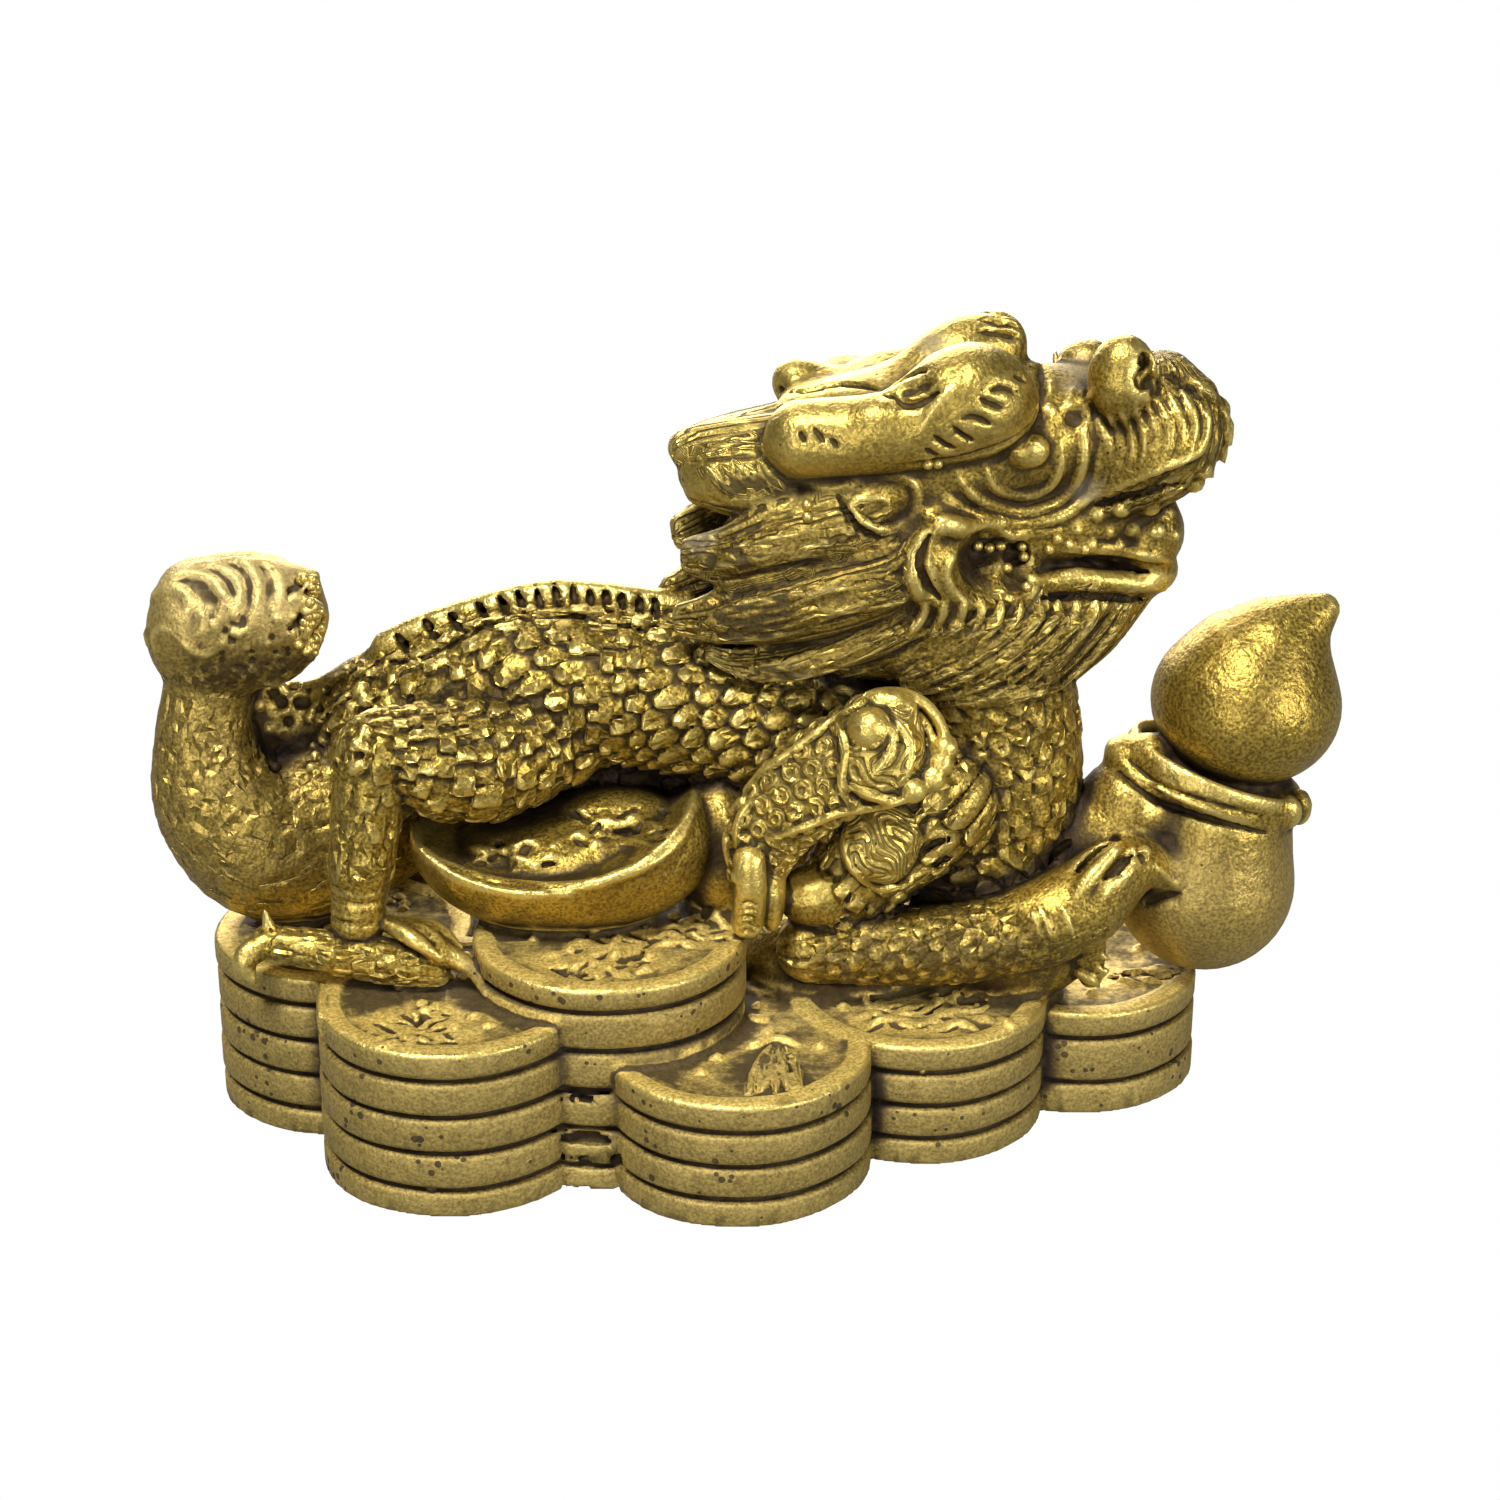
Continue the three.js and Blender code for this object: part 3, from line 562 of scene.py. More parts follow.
def met_by_sight(marks, spacing=0.25):
    """Where the sight lines through a smooth line of marks first meet the figure, as unbroken runs of
    points and of the directions in which the skin faces there."""
    line = smooth(marks, 12)
    lengths = np.concatenate([[0], np.cumsum(np.linalg.norm(np.diff(line, axis=0), axis=1))])
    count = max(2, int(lengths[-1] / (spacing * marks_to_a_millimetre)) + 1)
    even = np.linspace(0, lengths[-1], count)
    line = np.stack([np.interp(even, lengths, line[:, i]) for i in (0, 1)], axis=1)
    depths = np.arange(-20, 14, sight_step)
    places = lens_place + sight_lines(line)[:, None, :] * (depths - lens_place[1])[None, :, None]
    index = np.rint((places - block_corner) / cell).astype(int)
    inside = ((index >= 0) & (index < block_cells)).all(axis=2)
    index = np.clip(index, 0, block_cells - 1)
    values = np.where(inside, block[index[..., 0], index[..., 1], index[..., 2]], far_away)
    first = np.maximum((values < 0).argmax(axis=1), 1)
    met = (values < 0).any(axis=1)
    row = np.arange(count)
    before, after = values[row, first - 1], values[row, first]
    share = before / np.maximum(before - after, 1e-6)
    depth = depths[first - 1] + sight_step * share
    held = np.concatenate([depth[:1], depth, depth[-1:]])
    steady = (held[:-2] + held[1:-1] + held[2:]) / 3
    jump = np.abs(np.diff(depth)) > largest_jump
    near_jump = np.concatenate([jump, [False]]) | np.concatenate([[False], jump])
    depth = np.where(near_jump, depth, steady)
    points = lens_place + sight_lines(line) * (depth - lens_place[1])[:, None]
    facing = slope_at(points)
    facing /= np.maximum(np.linalg.norm(facing, axis=1), 1e-6)[:, None]
    breaks = [0] + [i + 1 for i in range(count - 1) if jump[i] or met[i] != met[i + 1]] + [count]
    for a, b in zip(breaks[:-1], breaks[1:]):
        if met[a] and b - a > 1:
            yield points[a:b], facing[a:b]


def ridge(marks, half_width, rise, far_side=None, soft=0.12, relief=None):
    """A raised line along marks in the photograph, thinner at its ends. far_side takes points across."""
    for points, facing in list(met_by_sight(marks)):
        middle = points + facing * (rise - half_width)
        widths = half_width * np.interp(np.linspace(0, 1, len(points)), *ridge_taper)
        for side in (same,) + ((far_side,) if far_side else ()):
            tube(side(middle), widths, soft=soft, step=no_new_points, relief=relief)


def groove(marks, half_width, depth, far_side=None, soft=0.1):
    """A cut line along marks in the photograph."""
    for points, facing in list(met_by_sight(marks)):
        middle = points + facing * (half_width - depth)
        widths = half_width * np.interp(np.linspace(0, 1, len(points)), *groove_taper)
        for side in (same,) + ((far_side,) if far_side else ()):
            tube(side(middle), widths, soft=soft, step=no_new_points, keep=cut)


def found_at(mark):
    """Where the sight line through one mark meets the figure: nothing, or a short run as above."""
    x, y = mark
    return list(met_by_sight([(x - 3, y), (x + 3, y)]))[:1]


def bump(mark, half_width, rise, far_side=None, soft=0.1, keep=add):
    """A small ball of that half width, standing that far out of the skin or cut that deep into it."""
    for points, facing in found_at(mark):
        out = rise - half_width if keep is add else half_width - rise
        middle = points[:1] + facing[:1] * out
        for side in (same,) + ((far_side,) if far_side else ()):
            lump(side(middle)[0], [half_width] * 3, soft=soft, keep=keep)


carving_seed = 7003
hand = np.random.default_rng(carving_seed)


def sheaf(first, last, count, half_width, rise, far_side=None, unevenness=2.0):
    """Strands of hair side by side, from one guide line of marks to another."""
    first, last = np.array(first, float), np.array(last, float)
    for i in range(count):
        share = (i + 0.5) / count
        line = first + (last - first) * share + hand.normal(0, unevenness, first.shape)
        own_width, own_rise = half_width * hand.uniform(0.8, 1.2), rise * hand.uniform(0.7, 1.2)
        ridge(line, own_width, own_rise, far_side, relief=strands(0.6, 0.0, 0.4))


lid = [(985, 466), (992, 484), (1008, 494), (1030, 496), (1050, 486), (1061, 465), (1060, 440)]
first_fold = [
    (958, 478), (975, 497), (1000, 508), (1030, 511), (1060, 500), (1078, 478), (1085, 450), (1080, 422),
]
second_fold = [(945, 497), (975, 514), (1010, 523), (1050, 520), (1080, 503), (1098, 470), (1104, 432)]
third_fold = [(925, 512), (950, 526), (1000, 534), (1060, 531)]
cheek_band = [(1000, 527), (958, 524), (930, 534), (916, 556), (914, 585), (928, 616)]
inner_band = [(968, 545), (950, 560), (948, 582), (966, 602), (990, 606)]
between_bands = [(930, 535), (922, 560), (927, 585), (942, 602)]
ridge(lid, 0.3, 0.28, across_head)
ridge(first_fold, 0.36, 0.34, across_head)
ridge(second_fold, 0.36, 0.34, across_head)
ridge(third_fold, 0.4, 0.3, across_head)
ridge(cheek_band, 0.62, 0.34, across_head)
ridge(inner_band, 0.42, 0.25, across_head)
groove(between_bands, 0.3, 0.5, across_head)

mouth_corner = ((982, 560, 1.7, 0.8), (1000, 566, 2.0, 1.0), (1018, 572, 1.6, 0.8))
above_mouth_corner = ((984, 552), (1002, 550), (1020, 553))
upper_lip_line = [(1060, 548), (1110, 549), (1150, 556), (1185, 566)]
mouth_line = [(1045, 562), (1090, 561), (1140, 570), (1196, 584)]
lower_lip_line = [(1032, 582), (1080, 576), (1120, 582), (1165, 590)]
under_lip = [(1030, 598), (1090, 596), (1130, 600), (1162, 602)]
for x, y, size, deep in mouth_corner:
    bump((x, y), size, deep, across_head, keep=cut)
for mark in above_mouth_corner:
    bump(mark, 0.85, 0.7, across_head, keep=cut)
ridge(upper_lip_line, 0.45, 0.35, across_head)
groove(mouth_line, 0.38, 0.8, across_head)
ridge(lower_lip_line, 0.6, 0.4, across_head)
groove(under_lip, 0.28, 0.5, across_head)
jaw_fringe = range(925, 1105, 19)
for x in jaw_fringe:
    ridge([(x, 602), (x - 2, 616), (x - 16, 634)], 0.28, 0.3, across_head)

for i in range(9):
    x, top = 1098 + 12 * i, 420 - 4 * i
    snout_hair = [(x, top), (x + 12, top + 30), (x + 6, top + 60), (x - 14, top + 84 - i)]
    ridge(snout_hair, 0.34, 0.34, across_head if i < 6 else None)
moustache_tips = ((1206, 470, 0.5), (1199, 484, 0.45))
temple_lines = (1062, 1072, 1082)
for x, y, rise in moustache_tips:
    bump((x, y), 0.6, rise)
for x in temple_lines:
    ridge([(x + 12, 388), (x + 4, 410), (x + 3, 432)], 0.26, 0.28, across_head)
gum_line = [(1090, 508), (1130, 496), (1165, 488), (1192, 482)]
teeth = (
    (1100, 515, 0.5), (1125, 512, 0.55), (1152, 508, 0.65), (1172, 512, 0.6), (1112, 532, 0.45),
    (1135, 530, 0.5), (1160, 530, 0.55), (1080, 530, 0.35), (1178, 535, 0.45), (1095, 545, 0.35),
    (1122, 545, 0.35),
)
groove(gum_line, 0.3, 0.55, across_head)
for x, y, size in teeth:
    bump((x, y), size, 0.3, across_head)
nostril_hole = ((1150, 362), (1150, 372), (1150, 382), (1150, 391))
temple_pit = (1078, 418)
for mark in nostril_hole:
    bump(mark, 0.7, 1.2, across_head, keep=cut)
bump(temple_pit, 0.9, 0.55, across_head, keep=cut)
for i in range(4):
    over_snout = [(1160 + 6 * i, 372 + 5 * i), (1182 + 5 * i, 376 + 6 * i), (1200 + 3 * i, 386 + 8 * i)]
    groove(over_snout, 0.22, 0.35, across_head)
temple_beads = ((1050, 386, 0.6), (1052, 410, 0.5))
for x, y, size in temple_beads:
    bump((x, y), size, 0.3, across_head)

under_horn = [(1040, 360), (1042, 395), (1030, 425), (1000, 446), (950, 460), (900, 466)]
ear_spiral = [(806, 482), (830, 488), (860, 482), (890, 476), (912, 482), (918, 500), (908, 520), (884, 530)]
ear_spiral += [(862, 522), (850, 508), (862, 499), (880, 498), (890, 505), (884, 514)]
behind_ear = [(838, 497), (846, 512), (858, 528), (880, 538)]
horn_ticks = (
    [(1012, 376), (1020, 377), (1028, 381)],
    [(991, 391), (1004, 387), (1017, 393)],
    [(979, 398), (990, 403), (1008, 410)],
    [(962, 420), (974, 417), (993, 426)],
    [(952, 426), (961, 435), (976, 443)],
    [(934, 436), (946, 446), (958, 450)],
    [(925, 448), (934, 456), (944, 458)],
    [(798, 430), (803, 438), (806, 444)],
    [(812, 426), (820, 436), (824, 444)],
    [(828, 436), (834, 443), (838, 450)],
    [(858, 434), (872, 442), (888, 443)],
)
horn_edge = [(952, 388), (934, 408), (920, 430)]
horn_swelling = (877, 412)
groove(under_horn, 0.3, 0.3, across_head)
ridge(ear_spiral, 0.27, 0.27, across_head)
groove(behind_ear, 0.25, 0.35, across_head)
for marks in horn_ticks:
    groove(marks, 0.19, 0.28, across_head)
ridge(horn_edge, 0.26, 0.2, across_head, soft=0.3)
bump(horn_swelling, 1.6, 0.35, across_head, soft=0.5)

horn_seam = [(775, 388), (800, 392), (840, 384), (870, 387), (896, 398)]
knob_seam = [(894, 384), (912, 374), (928, 370)]
knob_fold = [(892, 397), (908, 404), (930, 397), (942, 390)]
knob_hollow = [(896, 392), (912, 389), (932, 382)]
groove(horn_seam, 0.22, 0.35)
groove(knob_seam, 0.24, 0.4)
groove(knob_fold, 0.3, 0.5)
groove(knob_hollow, 0.5, 0.4)
for y in (313, 322, 333):
    groove([(980, y - 2), (1000, y), (1020, y + 4)], 0.26, 0.4)

lobe_hairs = (
    ([(700, 468), (715, 484), (730, 498)], [(765, 462), (778, 478), (790, 490)], 5, 0.26, 0.25),
    ([(690, 442), (730, 432), (765, 428)], [(690, 462), (730, 452), (765, 450)], 2, 0.26, 0.12),
)
for first, last, count, half_width, rise in lobe_hairs:
    sheaf(first, last, count, half_width, rise, across_head, 1.0)
top_hairs = [(852, 524), (800, 530), (745, 545), (700, 556)], [(858, 552), (800, 560), (745, 572), (704, 578)]
mid_hairs = [(888, 566), (825, 580), (765, 596), (700, 612)], [(905, 604), (840, 618), (785, 636), (700, 644)]
low_hairs = [(880, 622), (840, 640), (790, 662), (735, 668)], [(900, 640), (850, 664), (800, 680), (740, 684)]
jaw_hairs = [(1150, 610), (1120, 650), (1088, 688)], [(945, 622), (885, 656), (820, 676)]
beard_ends = [(1075, 690), (1020, 700), (960, 708)], [(910, 664), (865, 685), (805, 690)]
sheaf(*top_hairs, 4, 0.3, 0.25, across_head, 1.0)
sheaf(*mid_hairs, 5, 0.3, 0.25, across_head, 1.0)
sheaf(*low_hairs, 3, 0.3, 0.3, across_head, 1.0)
sheaf(*jaw_hairs, 15, 0.3, 0.26, across_head, 1.5)
sheaf(*beard_ends, 6, 0.3, 0.24, across_head, 1.5)

# THE CREST'S TEETH
# The ridge along the back is cut into a row of teeth that lean back, with a line drawn along its foot.
# The cuts were made one by one in the soft master model, so the teeth are of uneven width.
crest_foot = [(374, 662), (415, 660), (440, 650), (470, 634), (500, 621), (540, 615), (600, 619), (640, 630)]
crest_foot += [(668, 636)]
gaps = (
    (400, 640), (430, 630), (455, 622), (482, 612), (503, 606), (520, 600), (538, 597),
    (556, 594), (573, 594), (590, 596), (606, 599), (622, 602), (640, 607), (656, 611),
)
groove(crest_foot, 0.22, 0.42, across_body)
for x, y in gaps:
    lean = np.clip((600 - x) / 130, 0.15, 1.2)
    gap = [(x - 12 * lean, y - 17), (x - 4 * lean, y - 8), (x, y), (x + 9 * lean, y + 13)]
    groove(gap, 0.26, 0.5, across_body)

# THE TUFT
# The end of the tail, combed into a swirl on the left and left ragged where bubbles spoilt the mould.
# The same crumbs and pits lie over the skin of flash beside it, which nobody cleaned.
tuft_curls = (
    [(150, 648), (144, 618), (156, 594), (178, 588), (190, 602), (182, 620), (168, 616)],
    [(158, 658), (154, 636), (164, 627), (175, 634)],
    [(146, 604), (166, 580), (196, 573), (222, 588), (220, 618), (204, 646)],
    [(172, 576), (206, 564), (236, 578), (240, 606), (226, 640)],
    [(205, 566), (240, 560), (258, 580), (256, 612), (244, 645)],
    [(240, 562), (270, 564), (282, 588), (276, 622)],
    [(180, 640), (200, 655), (222, 648)],
    [(196, 600), (204, 622), (196, 640)],
    [(212, 586), (230, 600), (232, 622)],
)
for marks in tuft_curls:
    ridge(marks, 0.28, 0.2, across_body, soft=0.25)
ragged_edge, ragged_crumbs = 318, 90
tuft_pits = dict(left=215, top=612, right=325, bottom=676, count=60, smallest=0.16, largest=0.32, rise=0.2)
flash_pits = dict(left=262, top=676, right=372, bottom=770, count=70, smallest=0.2, largest=0.5, rise=0.3)
for i in range(ragged_crumbs):
    mark = ragged_edge + hand.normal(0, 10), hand.uniform(566, 664)
    bump(mark, hand.uniform(0.15, 0.5), hand.uniform(0.2, 0.45), keep=cut if i % 3 == 0 else add)


def pitting(left, top, right, bottom, count, smallest, largest, rise):
    """Crumbs and pits by turns, strewn over a patch of the picture."""
    for i in range(count):
        mark = hand.uniform(left, right), hand.uniform(top, bottom)
        bump(mark, hand.uniform(smallest, largest), rise, keep=cut if i % 2 else add)


pitting(**tuft_pits)
pitting(**flash_pits)

# THE INGOT
# A boat-shaped ingot lies under the arch of the body, its dished top partly covered by leaves.
# It is cast in one with the coins below it and the body above, with a thin rim left round the dish.
hull_middle, hull_halves = (-8.4, -4.6, 17.0), (8.9, 5.6, 5.5)
dish_x, dish_height, dish_radius = -10.4, 30.3, 14.2
slices, x, y, z = window([-20, -11, 10], [3, 5, 25])
outward = [((at - middle) / half) ** 2 for at, middle, half in zip((x, y, z), hull_middle, hull_halves)]
hull = (np.sqrt(outward[0] + outward[1] + outward[2]) - 1) * 5.3
dish = np.hypot(x - dish_x, z - dish_height) - dish_radius
add(slices, np.maximum(hull, -dish).astype(np.float32), 0.3)
lump([-8, -3.4, 15.6], [7.4, 4.8, 2.6], soft=0.2)
lump([-5.6, -2.4, 16.6], [5.0, 3.2, 2.6], soft=0.2)
ingot_rim = [(425, 848), (445, 862), (490, 879), (545, 886), (600, 881), (650, 864), (680, 840), (692, 812)]
ridge(ingot_rim, 0.36, 0.25)


def leafage(left, top, right, bottom, leaves, cracks):
    """Worn leaves in a patch of the picture: thin pointed plates side by side, cut up by short cracks."""
    plates = []
    for _ in range(leaves):
        x, y = hand.uniform(left, right), hand.uniform(top, bottom)
        reach, drop = hand.uniform(7, 17), hand.uniform(-6, 6)
        line = [(x - reach, y - drop), (x, y + hand.normal(0, 2)), (x + reach, y + drop)]
        plates += list(met_by_sight(line))
    for points, facing in plates:
        half_width, rise = hand.uniform(0.35, 0.6), hand.uniform(0.16, 0.34)
        widths = half_width * np.interp(np.linspace(0, 1, len(points)), *leaf_taper)
        tube(points + facing * (rise - half_width), widths, soft=0.06, step=no_new_points)
    for _ in range(cracks):
        x, y = hand.uniform(left, right), hand.uniform(top, bottom)
        reach, drop = hand.uniform(4, 12), hand.uniform(-6, 6)
        line = [(x - reach, y - drop), (x, y + hand.normal(0, 2)), (x + reach, y + drop)]
        groove(line, hand.uniform(0.16, 0.22), hand.uniform(0.25, 0.4))


dish_patches = ((478, 842, 560, 866, 12, 12), (575, 812, 668, 846, 18, 18))
for patch in dish_patches:
    leafage(*patch)

# THE ORNAMENT
# A cloud-headed sceptre leans on the foreleg: a field of beads between a rolled foot and a lobed head.
# Its beads and swirls were pressed into the master model, and its face is painted lighter gold, a painted
# highlight.
face_way = np.array([0.0, -0.88, 0.47])
bead_kind = 3
curl_kind = 4


def beads(girth, pitch=1.12, rise=0.16):
    """Little rings in staggered rows over the flat front of a limb."""

    def height(along, around):
        first, second = along / pitch, girth * np.sin(around) / pitch
        row = np.round(first)
        shift = second + 0.5 * np.mod(row, 2)
        away = np.hypot(first - row, shift - np.round(shift))
        ring = np.clip((away - 0.1) / 0.12, 0, 1) * np.clip((0.5 - away) / 0.12, 0, 1)
        return rise * ring, first, second, bead_kind

    return height


def only(kind):
    """A limb whose small pattern is of that kind, with no larger relief of its own."""

    def height(along, around):
        return 0 * along, along, around, kind

    return height


staff = [[2.6, -7.0, 15.6], [3.2, -7.2, 18.2], [4.6, -7.4, 20.4], [7.0, -7.6, 22.5], [9.6, -7.9, 24.0]]
tube(staff, [1.5, 2.2, 2.5, 2.8, 2.9], up=face_way, flat=0.45, relief=beads(2.6))
tube([[8.8, -7.9, 24.0], [10.6, -8.0, 24.2]], [3.0, 3.1], up=face_way, flat=0.5, relief=only(curl_kind))
tube([[9.2, -7.2, 18.2], [10.4, -7.2, 17.8]], [2.4, 2.3], up=face_way, flat=0.7, relief=only(curl_kind))
upright = np.cross(face_way, [1, 0, 0])
rim_middle = np.array([10.2, -8.1, 24.15]) + 0.3 * face_way
turns = np.linspace(-2.0, 2.3, 25)
for radius, thickness in ((3.0, 0.34), (2.3, 0.22)):
    rim = [rim_middle + radius * (math.cos(t) * np.array([1, 0, 0]) - math.sin(t) * upright) for t in turns]
    tube(rim, [thickness] * 25, soft=0.12, step=0.8)
rolled_foot = [[2.3, -8.2, 17.2], [2.35, -8.4, 15.6], [2.2, -8.2, 13.4]]
tube(rolled_foot, [0.95, 0.95, 0.95], up=(1, 0, 0), soft=0.1)
lump([3.6, -7.0, 14.6], [0.8, 1.4, 2.3])
lump([6.4, -5.5, 13.9], [2.6, 2.0, 1.9], soft=0.2)
ornament_lines = (
    [(738, 802), (758, 776), (798, 747), (836, 718), (862, 702)],
    [(772, 838), (805, 827), (840, 813), (880, 806), (915, 795), (936, 774)],
    [(744, 798), (729, 818), (727, 850), (736, 882)],
    [(752, 800), (738, 822), (737, 848)],
    [(838, 722), (846, 750), (842, 784), (850, 806)],
    [(898, 722), (910, 742), (908, 770), (896, 786)],
    [(884, 718), (894, 736), (886, 760), (868, 778)],
    [(850, 826), (846, 848), (856, 872), (880, 888), (905, 884)],
)
edge_beads = ((884, 697), (898, 699), (912, 706), (925, 717), (936, 731), (943, 747), (946, 764))
edge_beads += ((938, 781), (922, 794))
middle_bead = (873, 728)
for marks in ornament_lines:
    ridge(marks, 0.24, 0.28)
for mark in edge_beads:
    bump(mark, 0.75, 0.34)
bump(middle_bead, 1.3, 0.75)
for i in range(5):
    groove([(736, 905 + 7 * i), (748, 902 + 7 * i), (760, 907 + 7 * i)], 0.14, 0.2)
for y in (842, 862):
    groove([(925, y + 6), (940, y), (958, y - 4)], 0.3, 0.6)

# THE GOURD
# Two smooth bulbs with a tied waist and a bent neck, held by the claws of both forepaws.
# The ribbon round the waist is a band with a cord along each edge, modelled on before the casting.
gourd_lean = 7.5
ribbon_lean = 20
lower_bulb, upper_bulb = [29.6, 0.2, 12.3], [31.4, 0.2, 23.7]
bent_neck = [[32.1, 0.2, 26.3], [34.0, 0.2, 28.2], [35.5, 0.2, 29.4]]
lump(lower_bulb, [5.4, 5.4, 5.4], soft=0.2)
lump(upper_bulb, [5.55, 5.5, 4.8], tilt=gourd_lean, soft=0.2)
tube(bent_neck, [3.6, 2.0, 0.95], soft=1.6)
lump([30.6, 0.2, 18.2], [4.3, 4.3, 2.2], tilt=gourd_lean, soft=0.2)
lump([30.0, 0.2, 16.0], [4.6, 4.6, 4.4], tilt=gourd_lean, soft=1.2)


def ribbon(rise, wide, deep, half_width, flat=1.0):
    """A ribbon tied round the gourd and the far paw, a little slack on the right."""
    lean = math.radians(ribbon_lean)
    axis = np.array([math.sin(lean), 0, math.cos(lean)])
    middle = np.array([29.7, 0.2, 19.2]) + rise * axis
    turns = np.linspace(0, 2 * math.pi, 33)
    across = np.array([math.cos(lean), 0, -math.sin(lean)])
    loop = [middle + wide * math.cos(t) * across + deep * math.sin(t) * np.array([0, 1, 0]) for t in turns]
    tube(loop, [half_width] * 33, flat=flat, up=tuple(axis), soft=0.15, step=0.9)


ribbon_grooves = (
    ([(1116, 770), (1157, 801), (1210, 820), (1268, 834)], 0.24, 0.4),
    ([(1124, 756), (1160, 785), (1210, 803), (1266, 817)], 0.18, 0.24),
)
lump([28.4, 0.2, 18.8], [4.0, 3.6, 2.0], tilt=ribbon_lean, soft=0.5)
ribbon(0, 5.1, 4.5, 0.42, flat=2.0)
ribbon(-0.7, 5.25, 4.65, 0.26)
ribbon(0.7, 5.15, 4.55, 0.26)
for marks, half_width, depth in ribbon_grooves:
    groove(marks, half_width, depth)
lump([33.6, -2.7, 17.9], [1.0, 0.7, 1.1], soft=0.15)
lump([34.6, -1.7, 17.8], [0.75, 0.8, 1.1], soft=0.15)

near_paw = [[19.6, -6, 12.4], [21.6, -5.6, 13.7], [23.4, -4.8, 14.8], [25.2, -3.9, 15.1], [27.3, -3.6, 14.2]]
fingers = (
    [[20.4, -7.3, 13.4], [21.6, -7.2, 15.4], [23.4, -5.9, 17.0]],
    [[22.2, -7.0, 13.0], [23.5, -6.6, 15.2], [25.2, -5.0, 16.5]],
    [[21.3, -7.4, 12.6], [22.5, -7.2, 14.8], [24.3, -5.7, 16.8]],
)
wrist_hair = [[21.6, -5.6, 12.0], [22.2, -5.2, 10.4], [22.4, -5.0, 8.4]]
tube(near_paw, [2.3, 2.2, 2.0, 1.5, 0.6], soft=0.8)
for path in fingers:
    tube(path, [0.4, 0.5, 0.3], soft=0.25)
tube(wrist_hair, [1.3, 1.0, 0.7], soft=0.3)
for x, z in ((22.9, 11.4), (23.2, 10.5), (23.1, 9.6), (22.8, 8.7)):
    tube([[21.8, -5.6, z + 0.3], [x, -6.0, z - 0.5]], [0.5, 0.14], soft=0.12)
claw_line, claw_edge = [(1180, 893), (1160, 898), (1142, 905)], [(1155, 866), (1166, 876), (1180, 890)]
knuckle_pits = ((1124, 846), (1134, 852), (1144, 858), (1118, 838))
between_fingers = (
    [(1045, 870), (1062, 848), (1076, 836)],
    [(1072, 876), (1096, 850), (1114, 840)],
    [(1102, 884), (1118, 864), (1140, 857)],
)
forearm_hairs = (
    [(1040, 908), (1048, 925), (1052, 940)],
    [(1062, 908), (1068, 922), (1074, 938)],
    [(1032, 912), (1040, 928), (1043, 940)],
)
for marks in between_fingers:
    groove(marks, 0.35, 0.7)
for marks in forearm_hairs:
    ridge(marks, 0.2, 0.22)
groove(claw_line, 0.3, 0.3)
ridge(claw_edge, 0.22, 0.2)
for mark in knuckle_pits:
    bump(mark, 0.35, 0.5, keep=cut)

# THE RELIEF ON THE COINS
# The coin tops carry shallow worn marks and leaf shapes that never were letters, and the seams between
# two stacks at the front are torn deeper where the mould pulled.
worn_marks = 16
for centre, sizes in all_stacks:
    for _ in range(worn_marks):
        turn, away = hand.uniform(0, 2 * math.pi), 5.0 * math.sqrt(hand.uniform(0, 1))
        x, y = centre[0] + away * math.cos(turn), centre[1] + away * math.sin(turn)
        heading, length = hand.uniform(0, 2 * math.pi), hand.uniform(0.4, 1.0)
        step = 0.5 * length * np.array([math.cos(heading), math.sin(heading), 0])
        middle = np.array([x, y, sizes["top"] - 0.32])
        tube([middle - step, middle, middle + step], [0.12, 0.36, 0.12], soft=0.08)
coin_patches = (
    (372, 1012, 450, 1044, 16, 14),
    (552, 934, 655, 978, 22, 18),
    (668, 910, 722, 944, 10, 8),
    (870, 990, 1010, 1028, 26, 22),
    (1095, 962, 1180, 982, 8, 6),
)
coin_lines = (
    ([(552, 968), (570, 972), (588, 975)], 0.3, 0.5),
    ([(606, 937), (620, 930), (640, 937), (658, 939)], 0.26, 0.45),
    ([(616, 961), (632, 955), (646, 953)], 0.42, 0.35),
    ([(664, 928), (678, 929), (692, 939), (704, 939)], 0.26, 0.45),
)
for patch in coin_patches:
    leafage(*patch)
for marks, half_width, depth in coin_lines:
    groove(marks, half_width, depth)
torn_seams = (1100, 1130, 1160, 1190)
fan = [(745, 1092), (752, 1070), (766, 1050)], [(806, 1092), (800, 1070), (790, 1048)]
fan_top = [(750, 1046), (776, 1040), (800, 1046)]
claw_on_coin = [(322, 985), (321, 1010), (324, 1040)]
for y in torn_seams:
    groove([(552, y - 2), (580, y), (610, y + 2), (642, y + 3)], 0.4, 0.9)
sheaf(*fan, 7, 0.24, 0.4, None, 1.5)
ridge(fan_top, 0.3, 0.35)
ridge(claw_on_coin, 0.25, 0.3)

# THE CASTING
# Everything above is one pour of resin in a rubber mould, so the skin of the block becomes one piece.
# It stands on a flat underside, which was sanded level after it left the mould.
height = block_corner[2] + cell * np.arange(block_cells[2])
block = np.maximum(block, -height[None, None, :].astype(np.float32))


def skin_of(field):
    """The outer surface of a block as points in millimetres and quads, without what is shut inside it."""
    grid = openvdb.FloatGrid(far_away)
    grid.copyFromArray(np.ascontiguousarray(field, np.float32))
    points, quads = grid.convertToQuads(0.0)
    points = points * cell + block_corner
    label = np.arange(len(points))
    while True:
        lowest = label.copy()
        for a, b in ((0, 1), (1, 2), (2, 3), (3, 0)):
            np.minimum.at(lowest, quads[:, a], label[quads[:, b]])
            np.minimum.at(lowest, quads[:, b], label[quads[:, a]])
        lowest = lowest[lowest]
        if (lowest == label).all():
            break
        label = lowest
    largest = np.bincount(label).argmax()
    kept = label == largest
    renumbered = np.cumsum(kept) - 1
    return points[kept], renumbered[quads[kept[quads[:, 0]]]]


